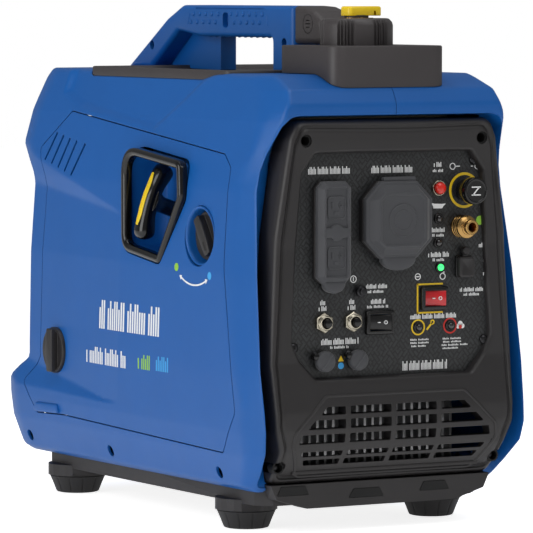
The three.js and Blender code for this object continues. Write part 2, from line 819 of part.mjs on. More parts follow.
// Push buttons and knobs that slide in the panel, each on a stem through it.
const resetAt = onPanel(49, 69.5);
piece(
  "reset_button",
  joined([rod("y", resetAt, 6, seat - 7, seat - 3.5), throughPanel(circle(resetAt, 4, 16))]).add(
    rod("y", resetAt, 4, seat - 5, seat, 16),
  ),
  redPlastic,
);
const chokeAt = onPanel(76, 67);
piece(
  "choke_knob",
  joined([
    rod("y", chokeAt, 12, seat - 17, seat - 3, 28),
    rod("y", chokeAt, 9.5, seat - 20, seat - 16, 28),
    rod("y", chokeAt, 4, seat - 5, seat, 16),
    throughPanel(circle(chokeAt, 4, 16)),
  ]),
  blackPlastic,
);

const inletAt = onPanel(72, 35.5);
const inletBore = 3.7;
piece(
  "gas_inlet",
  cutBy(
    joined([
      rod("y", inletAt, 10, seat - 13, seat),
      rod("y", inletAt, 6.5, seat - 20, seat - 12),
      throughPanel(circle(inletAt, 7, 20)),
    ]),
    [rod("y", inletAt, inletBore, -far, seat + 8, 16)],
  ),
  brass,
);

const usbAt = onPanel(74.5, 0.5);
piece(
  "usb_socket",
  joined([prism("y", rectangle(...usbAt, 16, 20, 3), seat - 2.5, seat), throughPanel(rectangle(...usbAt, 12, 16))]),
  blackPlastic,
);
piece(
  "usb_cover",
  joined([
    prism("y", rectangle(usbAt[0], usbAt[1], 16, 19, 3), seat - 8, seat - 2.5 - gap),
    prism("y", rectangle(usbAt[0], usbAt[1] + 11, 5, 8), seat - 5, seat - 2.5 - gap),
  ]),
  softCover,
);

const breakers = { breaker_20: onPanel(-67, -44), breaker_30: onPanel(-38, -44) };
const breakerButtonRadius = 3.8;
for (const [name, at] of Object.entries(breakers)) {
  const nut = rod("y", at, 9, seat - 4, seat, 6);
  const collar = rod("y", at, 6.5, seat - 7, seat - 3, 20);
  const bore = rod("y", at, breakerButtonRadius + gap, -far, seat + 8, 16);
  piece(name, joined([nut, collar, throughPanel(circle(at, 5.5, 16))]).subtract(bore), nickel);
  piece(`${name}_button`, rod("y", at, breakerButtonRadius, seat - 11, seat + 4, 16), glossBlack);
}

const groundAt = onPanel(-31, -18);
piece(
  "ground_terminal",
  joined([
    rod("y", groundAt, 5.5, seat - 3, seat, 6),
    rod("y", groundAt, 3.5, seat - 9, seat - 2, 12),
    throughPanel(circle(groundAt, 3, 12), seat + 12),
  ]),
  nickel,
);

const parallelCapRadius = 9;
const sockets = { left: onPanel(-68, -77), right: onPanel(-35, -77) };
for (const [side, at] of Object.entries(sockets)) {
  const ear = [at[0] - 10, at[1] + 5];
  piece(
    `parallel_socket_${side}`,
    joined([rod("y", at, 8, seat - 2, seat), throughPanel(circle(at, 6.5, 20))]).subtract(
      rod("y", at, 2.5, -far, seat + 10, 12),
    ),
    blackPlastic,
  );
  const strap = prism("y", [
    [ear[0] - 3, ear[1] + 2], [ear[0] - 1, ear[1] - 3], [at[0], at[1] - 2], [at[0], at[1] + 4], [ear[0], ear[1] + 4],
  ].reverse(), seat - 5, seat - 2 - gap);
  piece(
    `parallel_cap_${side}`,
    joined([rod("y", at, parallelCapRadius, seat - 10, seat - 2 - gap), strap.subtract(rod("y", at, 5, -far, far))]),
    softCover,
  );
}

const panelScrews = [
  [panelHalfWidth - 14.5, panelTop - 8],
  [panelHalfWidth - 3.5, panelBottom + 27],
];
const panelOutline = inset(windowOutline, -5);
const screwCuts = panelScrews.flatMap(([x, z]) => [-x, x].map((place) => rod("y", [place, z], 1.8, -far, far, 10)));
const panel = cutBy(prism("y", panelOutline, panelFace, panelFace + panelThickness), [...panelCuts, ...screwCuts]);
piece("control_panel", panel, panelSheet);

// ---------------------------------------------------------------- engine and what goes with it

const blockFront = 46;
const crankcase = block([-48, 48], [blockFront, blockRear], [shaftLevel - 48, shaftLevel + 42]);
const finPitch = 7;
const cylinderFins = Array.from({ length: 5 }, (_, i) => {
  const level = shaftLevel + 50 + i * finPitch;
  return block([-34, 34], [blockFront + 8, blockRear - 8], [level, level + 3]);
});
const cylinderRadius = (blockRear - blockFront) / 3;
const cylinder = rod("z", [0, (blockFront + blockRear) / 2], cylinderRadius, shaftLevel + 41, shaftLevel + 50 + 5 * finPitch);
const crankBore = rod("y", [0, shaftLevel], 8 + gap, -far, blockRear + 20, 20);
const mountLegs = [-36, 36].map((x) =>
  block([x - 8, x + 8], [blockFront, blockRear], [trayFloor + wall + gap, shaftLevel - 46]),
);
piece("engine_block", joined([crankcase, cylinder, ...cylinderFins, ...mountLegs]).subtract(crankBore), castAluminium);

const mufflerBox = block([-30, 86], mufflerSpan, [shaftLevel - 10, waist - 22]);
const tailPipe = cutBy(rod("y", exhaustCentre, exhaustRadius, mufflerSpan[1] - 2, rear - 28), [
  rod("y", exhaustCentre, exhaustRadius - 2, mufflerSpan[1] + 4, far),
]);
piece("muffler", joined([mufflerBox, tailPipe]), steel);

piece("air_cleaner", block([-112, -60], [70, 150], [shaftLevel + 10, waist - 12]), blackPlastic);

const heatSink = block([-82, 82], [front + 58, front + 74], [shellBottom + 20, lowerBulge + 34]);
const finCount = 21;
const inverterFins = Array.from({ length: finCount }, (_, i) => {
  const x = -80 + (160 * i) / (finCount - 1);
  return block([x - 1.2, x + 1.2], [front + 42, front + 59], [shellBottom + 20, lowerBulge + 34]);
});
piece("inverter_module", joined([heatSink, ...inverterFins]), castAluminium);

export default root;
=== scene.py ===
import logging
import math
from dataclasses import dataclass
from enum import Enum
from typing import Callable, Iterable, Optional, Sequence

import bpy
import numpy as np
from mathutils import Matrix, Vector


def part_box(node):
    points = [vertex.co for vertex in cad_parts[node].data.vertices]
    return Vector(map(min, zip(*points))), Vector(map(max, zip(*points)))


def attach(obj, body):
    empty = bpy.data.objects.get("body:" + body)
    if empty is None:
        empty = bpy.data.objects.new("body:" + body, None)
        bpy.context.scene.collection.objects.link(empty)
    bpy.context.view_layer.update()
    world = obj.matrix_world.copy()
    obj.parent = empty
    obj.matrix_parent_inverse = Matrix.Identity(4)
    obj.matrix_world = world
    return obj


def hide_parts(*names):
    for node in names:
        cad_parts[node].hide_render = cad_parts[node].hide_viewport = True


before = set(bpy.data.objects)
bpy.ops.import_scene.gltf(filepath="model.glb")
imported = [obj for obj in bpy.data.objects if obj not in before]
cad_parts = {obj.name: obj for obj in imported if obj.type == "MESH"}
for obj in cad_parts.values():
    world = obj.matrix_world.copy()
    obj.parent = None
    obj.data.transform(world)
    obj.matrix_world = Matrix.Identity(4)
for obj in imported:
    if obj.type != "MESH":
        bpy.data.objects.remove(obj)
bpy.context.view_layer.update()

LOG = logging.getLogger("generator")
MM = 0.001
Array = np.ndarray
Pair = tuple[float, float]


# ---------------------------------------------------------------- outlines and shapes


class Along(Enum):
    """The axis that an outline is pushed along, and how its own (a, b) and depth lie in (x, y, z)."""

    X = (2, 0, 1)
    Y = (0, 2, 1)
    Z = (0, 1, 2)

    def place(self, flat: Array, depth: Array | float) -> Array:
        """Points in space: each of x, y and z picks a, b or the depth by this axis' own order.

        Args:
            flat: points of the outline, last axis (a, b).
            depth: how far along the axis each point is.

        Returns:
            The points, last axis (x, y, z).
        """
        deep = np.broadcast_to(np.asarray(depth, float), flat.shape[:-1])
        stacked = np.stack([flat[..., 0], flat[..., 1], deep], -1)
        return stacked[..., list(self.value)]


def corners_of(low: Iterable[float], high: Iterable[float]) -> tuple[Array, Array]:
    """Two corners in metres as arrays in millimetres."""
    return np.array(list(low)) / MM, np.array(list(high)) / MM


def cad_box(node: str) -> tuple[Array, Array]:
    """The lowest and highest corners of a CAD node at rest, in millimetres."""
    return corners_of(*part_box(node))


def cad_centre(node: str) -> Array:
    """The middle of a CAD node's box, in millimetres."""
    low, high = cad_box(node)
    return (low + high) / 2


@dataclass(frozen=True)
class Outline:
    """A closed anticlockwise polygon whose corners are rounded, in millimetres."""

    corners: Array
    radius: float | Sequence[float] = 0.0  # for all corners, or one for each
    arc: int = 5

    @staticmethod
    def box(centre: Sequence[float], size: Sequence[float], radius: float = 1.0,
            chamfer: float = 0.0) -> "Outline":
        """A rectangle, or an octagon where it has a chamfer, round a centre."""
        a, b = size[0] / 2, size[1] / 2
        c = chamfer
        half = [(a, -b + c), (a, b - c), (a - c, b), (-a + c, b), (-a, b - c), (-a, -b + c), (-a + c, -b),
                (a - c, -b)]
        points = half if c else [(-a, -b), (a, -b), (a, b), (-a, b)]
        return Outline(np.array(points) + np.asarray(centre), radius)

    @staticmethod
    def disc(centre: Sequence[float], radius: float, sides: int = 48, phase: float = 0.5) -> "Outline":
        """A regular polygon that stands for a circle."""
        turn = 2 * np.pi * (np.arange(sides) + phase) / sides
        return Outline(np.asarray(centre) + radius * np.stack([np.cos(turn), np.sin(turn)], -1))

    @staticmethod
    def mirrored(right: Sequence[Pair], radius: float = 0.0, arc: int = 5) -> "Outline":
        """The right half of an outline, listed upwards, with its mirror image."""
        half = np.array(right, float)
        return Outline(np.vstack([half, (half * [-1, 1])[::-1]]), radius, arc)

    def shifted(self, by: Sequence[float]) -> "Outline":
        """The same outline moved."""
        return Outline(self.corners + np.asarray(by), self.radius, self.arc)

    def ring(self, inset: float = 0.0) -> Array:
        """The outline's points, moved inwards by an inset.

        Each corner slides along its mitre, and is then replaced by a quadratic arc whose two
        ends lie on the corner's edges, at the rounding radius times the tangent of half the turn.
        """
        p = self.corners
        before, after = p - np.roll(p, 1, 0), np.roll(p, -1, 0) - p
        a = before / np.linalg.norm(before, axis=1, keepdims=True)
        b = after / np.linalg.norm(after, axis=1, keepdims=True)
        na, nb = np.stack([-a[:, 1], a[:, 0]], -1), np.stack([-b[:, 1], b[:, 0]], -1)
        moved = p + inset * (na + nb) / (1 + (na * nb).sum(1, keepdims=True))
        radius = np.asarray(self.radius, float)
        if not radius.any():
            return moved
        convex = a[:, 0] * b[:, 1] - a[:, 1] * b[:, 0] > 0
        keep = np.where(convex, np.maximum(radius - inset, 0.2), radius + inset)
        half_turn = np.arccos(np.clip((a * b).sum(1), -1, 1)) / 2
        room = np.linalg.norm(np.roll(moved, -1, 0) - moved, axis=1)
        tangent = np.minimum(keep * np.tan(half_turn), 0.46 * np.minimum(room, np.roll(room, 1)))[:, None]
        start, end = moved - a * tangent, moved + b * tangent
        t = np.linspace(0, 1, self.arc)[:, None, None]
        bend = (1 - t) ** 2 * start + 2 * t * (1 - t) * moved + t**2 * end
        return bend.transpose(1, 0, 2).reshape(-1, 2)

    def at_angles(self, centre: Sequence[float], angles: Array) -> Array:
        """Where rays from a centre meet the outline: the nearest crossing of each ray with any edge."""
        p = self.ring() - np.asarray(centre)
        e = np.roll(p, -1, 0) - p
        d = np.stack([np.cos(angles), np.sin(angles)], -1)[:, None]
        cross = d[..., 0] * e[:, 1] - d[..., 1] * e[:, 0]
        cross = np.where(np.abs(cross) < 1e-9, 1e-9, cross)
        far = (p[:, 0] * e[:, 1] - p[:, 1] * e[:, 0]) / cross
        share = (p[:, 0] * d[..., 1] - p[:, 1] * d[..., 0]) / cross
        hit = np.where((far > 0) & (share > -1e-6) & (share < 1 + 1e-6), far, np.inf).min(1)
        return np.asarray(centre) + d[:, 0] * hit[:, None]

    def inside_depth(self, points: Array) -> Array:
        """How deep points lie inside the outline, negative outside: the distance to the nearest edge,
        with its sign from whether a line to the right crosses an odd number of edges."""
        p = self.ring()
        q = np.roll(p, -1, 0)
        e = q - p
        best = np.full(points.shape[:-1], np.inf)
        odd = np.zeros(points.shape[:-1], bool)
        for start, edge in zip(p, e):  # over the few dozen edges, and all points at once
            w = points - start
            t = np.clip((w @ edge) / (edge @ edge), 0, 1)
            best = np.minimum(best, ((w - t[..., None] * edge) ** 2).sum(-1))
            crosses = (start[1] <= points[..., 1]) != (start[1] + edge[1] <= points[..., 1])
            level = np.where(edge[1] == 0, 1.0, edge[1])
            odd ^= crosses & (points[..., 0] < start[0] + edge[0] * (points[..., 1] - start[1]) / level)
        return np.where(odd, 1, -1) * np.sqrt(best)


@dataclass
class Shape:
    """Points in millimetres, four-sided faces and flat end faces."""

    points: Array
    quads: Array
    ends: list[list[int]]

    @staticmethod
    def lofted(rings: Array, looped: bool = False, capped: bool = True) -> "Shape":
        """Rings of equal length joined to the next one by quads.

        Args:
            rings: points, shaped (rings, points round, 3).
            looped: the last ring joins the first, as on a tyre.
            capped: the first and last rings are closed with flat faces.

        Returns:
            The shape.
        """
        count, around = rings.shape[:2]
        rows = np.arange(count if looped else count - 1)[:, None]
        cols = np.arange(around)[None, :]
        above, beside = (rows + 1) % count, (cols + 1) % around
        quads = np.stack(
            [rows * around + cols, rows * around + beside, above * around + beside, above * around + cols], -1
        ).reshape(-1, 4)
        last = list(range((count - 1) * around, count * around))
        ends = [] if looped or not capped else [list(range(around))[::-1], last]
        return Shape(rings.reshape(-1, 3), quads, ends)

    @staticmethod
    def moulded(outline: Outline, along: Along, levels: Sequence[Pair]) -> "Shape":
        """An outline carried along an axis through levels of (inset, depth), closed at both ends."""
        return Shape.lofted(np.stack([along.place(outline.ring(inset), depth) for inset, depth in levels]))

    @staticmethod
    def prism(outline: Outline, along: Along, low: float, high: float) -> "Shape":
        """An outline carried straight from one depth to another."""
        return Shape.moulded(outline, along, [(0, low), (0, high)])

    @staticmethod
    def joined(shapes: Sequence["Shape"]) -> "Shape":
        """Several shapes as one, each turned to face outwards first."""
        shapes = [shape.outward() for shape in shapes]
        starts = np.cumsum([0] + [len(s.points) for s in shapes])
        return Shape(
            np.vstack([s.points for s in shapes]),
            np.vstack([s.quads.reshape(-1, 4) + at for s, at in zip(shapes, starts)]),
            [[int(i + at) for i in end] for s, at in zip(shapes, starts) for end in s.ends],
        )

    def outward(self) -> "Shape":
        """The shape with its faces pointing out: turned round where its signed volume, the sum of the
        triple products of its triangles' corners, is negative."""
        triangles = [self.quads[:, [0, 1, 2]], self.quads[:, [0, 2, 3]]]
        for end in self.ends:
            fan = np.array(end)
            triangles.append(np.stack([np.full(len(fan) - 2, fan[0]), fan[1:-1], fan[2:]], -1))
        corner = (self.points - self.points.mean(0))[np.vstack(triangles)]
        volume = np.einsum("ij,ij->i", corner[:, 0], np.cross(corner[:, 1], corner[:, 2])).sum()
        if volume >= 0:
            return self
        return Shape(self.points, self.quads[:, ::-1], [end[::-1] for end in self.ends])

    def mirrored(self) -> "Shape":
        """The shape on the other side of the middle plane, its faces turned inside out."""
        return Shape(self.points * np.array([-1, 1, 1]), self.quads, self.ends)

    def turned(self, axis: Sequence[float], degrees: float, about: Sequence[float]) -> "Shape":
        """The shape turned about a line: the part along the axis stays, and the rest turns in its plane."""
        k = np.asarray(axis, float) / np.linalg.norm(axis)
        v = self.points - np.asarray(about, float)
        c, s = math.cos(math.radians(degrees)), math.sin(math.radians(degrees))
        spun = v * c + np.cross(k, v) * s + np.outer(v @ k, k) * (1 - c)
        return Shape(spun + np.asarray(about, float), self.quads, self.ends)

    def copies(self, places: Array) -> "Shape":
        """One shape that repeats this one at each place."""
        one = self.outward()
        count, size = len(places), len(one.points)
        at = (np.arange(count) * size)[:, None, None]
        points = (one.points[None] + np.asarray(places, float)[:, None]).reshape(-1, 3)
        ends = [[i + size * n for i in end] for n in range(count) for end in one.ends]
        return Shape(points, (one.quads[None] + at).reshape(-1, 4), ends)


def slab(low: float, high: float, soft_low: float = 0.0, soft_high: float = 0.0,
         steps: int = 4) -> list[Pair]:
    """Levels of (inset, depth) for a plate whose two edges are rounded: each edge is a quarter circle,
    with inset r - r sin t and depth r - r cos t from its face."""
    t = np.linspace(0, np.pi / 2, steps)
    first = [(soft_low * (1 - math.sin(a)), low + soft_low * (1 - math.cos(a)))
             for a in t] if soft_low else [(0.0, low)]
    last = [(soft_high * (1 - math.sin(a)), high - soft_high * (1 - math.cos(a)))
            for a in t] if soft_high else [(0.0, high)]
    return first + last[::-1]


def lathed(
    profile: Sequence[Pair],
    centre: Sequence[float],
    along: Along,
    sides: int = 64,
    ripple: Optional[Callable[[Array, Array], Array]] = None,
) -> Shape:
    """A profile of (radius, depth) turned round an axis.

    Args:
        profile: radii and depths, in order along the axis.
        centre: the axis' place in the outline's (a, b).
        along: the axis.
        sides: steps round the axis.
        ripple: what is added to the radius, from the turn and the profile's row, for ribs and grooves.

    Returns:
        The closed shape.
    """
    radius, depth = np.array(profile, float).T
    turn = 2 * np.pi * np.arange(sides) / sides
    reach = np.repeat(radius[:, None], sides, 1)
    if ripple is not None:
        reach = reach + ripple(turn[None, :], np.arange(len(radius))[:, None])
    flat = np.asarray(centre) + reach[..., None] * np.stack([np.cos(turn), np.sin(turn)], -1)
    return Shape.lofted(along.place(flat, depth[:, None]))


def lathed_ring(
    profile: Sequence[Pair], centre: Sequence[float], along: Along, sides: int = 64, phase: float = 0.0
) -> Shape:
    """A closed profile of (radius, depth) turned round an axis, open through its middle."""
    turn = 2 * np.pi * (np.arange(sides) + phase) / sides
    radius, depth = np.array(profile, float).T
    flat = np.asarray(centre) + radius[:, None, None] * np.stack([np.cos(turn), np.sin(turn)], -1)
    return Shape.lofted(along.place(flat, depth[:, None]), looped=True)


def swept(path: Array, section: Array, up: Sequence[float], closed: bool = False) -> Shape:
    """A section carried along a path.

    At each point of the path the section's first number is measured across, square to the path
    and to the up direction, and the second along what is square to both.

    Args:
        path: points along the middle.
        section: the section's points, (across, lift), or one such section for each point of the path.
        up: the direction that the section's lift follows.
        closed: the path returns to its start.

    Returns:
        The shape, closed at its ends unless the path is.
    """
    path = np.asarray(path, float)
    tangent = np.roll(path, -1, 0) - np.roll(path, 1, 0) if closed else np.gradient(path, axis=0)
    tangent /= np.linalg.norm(tangent, axis=1, keepdims=True)
    across = np.cross(np.asarray(up, float), tangent)
    across /= np.linalg.norm(across, axis=1, keepdims=True)
    lift = np.cross(tangent, across)
    section = np.broadcast_to(section, (len(path),) + np.asarray(section).shape[-2:])
    rings = path[:, None] + section[..., :1] * across[:, None] + section[..., 1:] * lift[:, None]
    return Shape.lofted(rings, looped=closed)


def oval(width: float, height: float, sides: int = 12, power: float = 2.0) -> Array:
    """A rounded section: |a / width|^power + |b / height|^power = 1, both half sizes."""
    turn = 2 * np.pi * (np.arange(sides) + 0.5) / sides
    c, s = np.cos(turn), np.sin(turn)
    return np.stack([width * np.sign(c) * np.abs(c) ** (2 / power),
                     height * np.sign(s) * np.abs(s) ** (2 / power)], -1)


def dome(centre: Sequence[float], radius: float, height: float, along: Along, foot: float,
         sides: int = 12) -> Shape:
    """A low round bump on a face: its radius falls as cos t while it rises as sin t."""
    t = np.linspace(0, np.pi / 2 * 0.9, 4)
    profile = [(radius, foot)] + [(radius * math.cos(a), foot + height * math.sin(a)) for a in t]
    return lathed(profile, centre, along, sides)


# ---------------------------------------------------------------- pieces in Blender


def mesh_object(name: str, shape: Shape) -> bpy.types.Object:
    """A Blender object whose mesh holds the shape, in metres, at the origin."""
    shape = shape.outward()
    mesh = bpy.data.meshes.new(name)
    mesh.from_pydata(shape.points * MM, [], shape.quads.tolist() + shape.ends)
    mesh.validate()
    made = bpy.data.objects.new(name, mesh)
    bpy.context.scene.collection.objects.link(made)
    return made


class Cut(Enum):
    """What a carving does with its tools."""

    AWAY = "DIFFERENCE"
    KEEP = "INTERSECT"


def carve(target: bpy.types.Object, tools: Sequence[Shape], cut: Cut = Cut.AWAY) -> bpy.types.Object:
    """Cuts closed shapes out of an object, or keeps only what lies in them, and applies it.

    Args:
        target: the object to work on.
        tools: closed shapes, which may overlap each other.
        cut: away or keep.

    Returns:
        The same object with its new mesh.
    """
    shelf = bpy.data.collections.new("tools")
    made = []
    for index, tool in enumerate(tools):
        cutter = mesh_object(f"tool_{index}", tool)
        bpy.context.scene.collection.objects.unlink(cutter)
        shelf.objects.link(cutter)
        made.append(cutter)
    boolean = target.modifiers.new("carve", "BOOLEAN")
    boolean.operation, boolean.solver = cut.value, "EXACT"
    if len(made) == 1:
        boolean.object = made[0]
    else:
        boolean.operand_type, boolean.collection = "COLLECTION", shelf
    evaluated = target.evaluated_get(bpy.context.evaluated_depsgraph_get())
    mesh = bpy.data.meshes.new_from_object(evaluated)
    target.modifiers.clear()
    old, target.data = target.data, mesh
    bpy.data.meshes.remove(old)
    mesh.name = target.name
    for cutter in made:
        bpy.data.meshes.remove(cutter.data)
    bpy.data.collections.remove(shelf)
    return target


def finish_mesh(made: bpy.types.Object, sharp: float) -> None:
    """Smooth shading that breaks where two faces meet at more than an angle in degrees."""
    mesh = made.data
    mesh.polygons.foreach_set("use_smooth", np.ones(len(mesh.polygons), bool))
    mesh.set_sharp_from_angle(angle=math.radians(sharp))


def piece(
    name: str,
    shape: Shape | bpy.types.Object,
    finish: "Finish",
    body: str = "root",
    replaces: Sequence[str] = (),
    sharp: float = 38.0,
) -> bpy.types.Object:
    """Makes a finished piece of the generator.

    Args:
        name: the piece's name.
        shape: its shape, or an object that holds it already.
        finish: what it is made of.
        body: the CAD body it moves with.
        replaces: the CAD nodes it stands for.
        sharp: the angle in degrees past which an edge stays sharp.

    Returns:
        The object.
    """
    made = shape if isinstance(shape, bpy.types.Object) else mesh_object(name, shape)
    made.name = made.data.name = name
    finish_mesh(made, sharp)
    made.data.materials.clear()
    made.data.materials.append(finish.material())
    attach(made, body)
    if replaces:
        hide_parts(*replaces)
    LOG.info("%s: %d faces on %s", name, len(made.data.polygons), body)
    return made


# ---------------------------------------------------------------- finishes


def linear(colour: str) -> tuple[float, float, float, float]:
    """An sRGB hex colour as linear light: c / 12.92 below 0.04045, else ((c + 0.055) / 1.055) to the 2.4."""
    parts = [int(colour.lstrip("#")[i : i + 2], 16) / 255 for i in (0, 2, 4)]
    return (*(c / 12.92 if c <= 0.04045 else ((c + 0.055) / 1.055) ** 2.4 for c in parts), 1.0)


def add(tree: bpy.types.NodeTree, kind: str, inputs: Optional[dict] = None,
        **settings: object) -> bpy.types.Node:
    """Adds a node to a tree.

    Args:
        tree: the material's node tree.
        kind: the node's type.
        inputs: what goes into each socket, by its name or number: another node's socket or a value.
        settings: the node's own properties.

    Returns:
        The node.
    """
    made = tree.nodes.new(kind)
    for name, value in settings.items():
        setattr(made, name, value)
    for socket, value in (inputs or {}).items():
        if isinstance(value, bpy.types.NodeSocket):
            tree.links.new(value, made.inputs[socket])
        else:
            made.inputs[socket].default_value = value
    return made


@dataclass(frozen=True)
class Finish:
    """What a piece is made of. Each kind of finish draws its own surface."""

    name: str
    colour: str
    roughness: float
    edge: float = 0.5  # mm, how softly edges catch the light
    metallic: float = 0.0
    grain: float = 0.6  # mm across one grain
    depth: float = 0.02  # mm
    sheen: float = 0.0
    coat: float = 0.0
    glow: float = 0.0
    shine: float = 0.5  # how much a plain surface mirrors
    spread: float = 0.12  # how far the tone wanders over the piece

    def tone(self, tree: bpy.types.NodeTree, place: bpy.types.NodeSocket) -> bpy.types.NodeSocket:
        """The colour over the piece: it wanders slowly between a darker and a lighter tone, as moulded
        and handled plastic does, over patches of some 60 mm."""
        cloud = add(tree, "ShaderNodeTexNoise",
                    {"Vector": place, "Scale": 16.0, "Detail": 3.0, "Roughness": 0.6})
        base = linear(self.colour)
        dark = tuple(c * (1 - self.spread) for c in base[:3]) + (1.0,)
        light = tuple(min(c * (1 + self.spread), 1.0) for c in base[:3]) + (1.0,)
        mixed = add(tree, "ShaderNodeMix", {0: cloud.outputs["Fac"], 6: dark, 7: light}, data_type="RGBA")
        return mixed.outputs[2]

    def height(self, tree: bpy.types.NodeTree, place: bpy.types.NodeSocket) -> bpy.types.NodeSocket:
        """The surface's fine relief: an even spark-eroded grain."""
        return add(
            tree, "ShaderNodeTexNoise", {"Vector": place, "Scale": 1 / (self.grain * MM), "Detail": 2.0}
        ).outputs["Fac"]

    def polish(self, tree: bpy.types.NodeTree, place: bpy.types.NodeSocket) -> bpy.types.NodeSocket:
        """The roughness, a little uneven over patches of some 25 mm."""
        cloud = add(tree, "ShaderNodeTexNoise", {"Vector": place, "Scale": 40.0, "Detail": 4.0})
        return add(
            tree,
            "ShaderNodeMapRange",
            {"Value": cloud.outputs["Fac"], "To Min": self.roughness * 0.88,
             "To Max": min(self.roughness * 1.12, 1.0)},
        ).outputs["Result"]

    def light(self, tree: bpy.types.NodeTree) -> float | bpy.types.NodeSocket:
        """How brightly the surface shines by itself."""
        return self.glow

    def material(self) -> bpy.types.Material:
        """The Blender material, made once."""
        known = bpy.data.materials.get(self.name)
        if known:
            return known
        made = bpy.data.materials.new(self.name)
        made.use_nodes = True
        tree = made.node_tree
        tree.nodes.clear()
        place = add(tree, "ShaderNodeTexCoord").outputs["Object"]
        soft = add(tree, "ShaderNodeBevel", {"Radius": self.edge * MM}, samples=4)
        relief = add(
            tree,
            "ShaderNodeBump",
            {"Height": self.height(tree, place), "Distance": self.depth * MM, "Normal": soft.outputs[0]},
        )
        surface = add(
            tree,
            "ShaderNodeBsdfPrincipled",
            {
                "Base Color": self.tone(tree, place),
                "Roughness": self.polish(tree, place),
                "Normal": relief.outputs[0],
                "Metallic": self.metallic,
                "Coat Weight": self.coat,
                "Specular IOR Level": self.shine,
                "Sheen Weight": self.sheen,
                "Emission Color": linear(self.colour),
                "Emission Strength": self.light(tree),
            },
        )
        add(tree, "ShaderNodeOutputMaterial", {"Surface": surface.outputs[0]})
        return made


@dataclass(frozen=True)
class TreadSheet(Finish):
    """A printed control panel sheet: a woven tread of slanted lozenges, each row leaning the other way."""

    pitch: float = 4.2  # mm between the lozenges of a row

    def cells(self, tree: bpy.types.NodeTree, place: bpy.types.NodeSocket) -> bpy.types.NodeSocket:
        """1 on a lozenge and 0 between them: of two slanting brick patterns, each square of a
        chequer as wide as two lozenges shows one or the other."""
        parts = add(tree, "ShaderNodeSeparateXYZ", {0: place})
        flat = add(tree, "ShaderNodeCombineXYZ", {0: parts.outputs[0], 1: parts.outputs[2]}).outputs[0]
        chequer = add(tree, "ShaderNodeTexChecker", {"Vector": flat, "Scale": 1 / (2.2 * self.pitch * MM)})
        one, other = self.lozenges(tree, flat, 52), self.lozenges(tree, flat, 128)
        return add(tree, "ShaderNodeMix", {0: chequer.outputs["Fac"], 6: one, 7: other},
                   data_type="RGBA").outputs[2]

    def lozenges(self, tree: bpy.types.NodeTree, flat: bpy.types.NodeSocket,
                 degrees: float) -> bpy.types.NodeSocket:
        """A brick pattern of the pitch by twice the pitch, turned by an angle."""
        leaned = add(tree, "ShaderNodeMapping", {"Vector": flat, "Rotation": (0, 0, math.radians(degrees))})
        brick = add(
            tree,
            "ShaderNodeTexBrick",
            {
                "Vector": leaned.outputs[0],
                "Color1": (1, 1, 1, 1),
                "Color2": (0.6, 0.6, 0.6, 1),
                "Mortar": (0, 0, 0, 1),
                "Scale": 0.1 / (self.pitch * MM),
                "Mortar Size": 0.018,
                "Mortar Smooth": 0.3,
                "Brick Width": 0.19,
                "Row Height": 0.08,
            },
        )
        return brick.outputs["Color"]

    def tone(self, tree: bpy.types.NodeTree, place: bpy.types.NodeSocket) -> bpy.types.NodeSocket:
        """A dark ground, and lozenges printed a shade lighter."""
        base = linear(self.colour)
        light = tuple(c * 4.4 for c in base[:3]) + (1.0,)
        fac = self.cells(tree, place)
        return add(tree, "ShaderNodeMix", {0: fac, 6: base, 7: light}, data_type="RGBA").outputs[2]

    def height(self, tree: bpy.types.NodeTree, place: bpy.types.NodeSocket) -> bpy.types.NodeSocket:
        """The lozenges stand a little proud of the ground."""
        return self.cells(tree, place)


@dataclass(frozen=True)
class DrawnMetal(Finish):
    """Turned or plated metal, with fine tool lines round or along it."""

    metallic: float = 1.0

    def height(self, tree: bpy.types.NodeTree, place: bpy.types.NodeSocket) -> bpy.types.NodeSocket:
        """Lines a third of a millimetre apart along Y, drawn coarser than the real ones."""
        drawn = add(tree, "ShaderNodeMapping", {"Vector": place, "Scale": (0.15, 1.0, 0.15)})
        return add(
            tree, "ShaderNodeTexNoise",
            {"Vector": drawn.outputs[0], "Scale": 1 / (self.grain * MM), "Detail": 3.0}
        ).outputs["Fac"]


@dataclass(frozen=True)
class StageSheet(Finish):
    """The pale floor that the object stands on, lit so evenly that it looks white."""

    def light(self, tree: bpy.types.NodeTree) -> bpy.types.NodeSocket:
        """The floor lights the object by its glow, and is itself seen nearly white."""
        seen = add(tree, "ShaderNodeLightPath").outputs["Is Camera Ray"]
        return add(tree, "ShaderNodeMapRange",
                   {"Value": seen, "To Min": self.glow, "To Max": 0.9}).outputs["Result"]


# Polypropylene body panels, injection moulded and spark-eroded: satin, a soft broad highlight.
BLUE = Finish("moulded_blue_polypropylene", "#0b57a2", 0.42, edge=0.9, grain=0.5, depth=0.012, spread=0.05,
              shine=0.36)
# A darker copy of the blue: painted shade, for the screw sleeves sunk in their wells.
SHADED_BLUE = Finish("shaded_blue_polypropylene", "#15447f", 0.5, edge=0.6)
# Glass-filled nylon of the bezel, covers and caps: near black, a coarser grain that scatters light.
BLACK = Finish("moulded_black_nylon", "#232122", 0.46, edge=0.8, grain=0.55, depth=0.02, spread=0.08)
TRAY = Finish("moulded_charcoal_polypropylene", "#292728", 0.55, edge=0.8, grain=0.7, depth=0.03)
TOP = Finish("moulded_warm_charcoal_polypropylene", "#3b3738", 0.48, edge=0.8, grain=0.6, depth=0.02)
# Soft thermoplastic rubber of the outlet covers and feet: matt, with a faint sheen at grazing angles.
SOFT = Finish("moulded_soft_cover_rubber", "#3d3e42", 0.62, edge=0.7, grain=0.4, depth=0.02, sheen=0.15)
FOOT = Finish("moulded_foot_rubber", "#201f20", 0.75, edge=0.8, grain=0.8, depth=0.05, sheen=0.1)
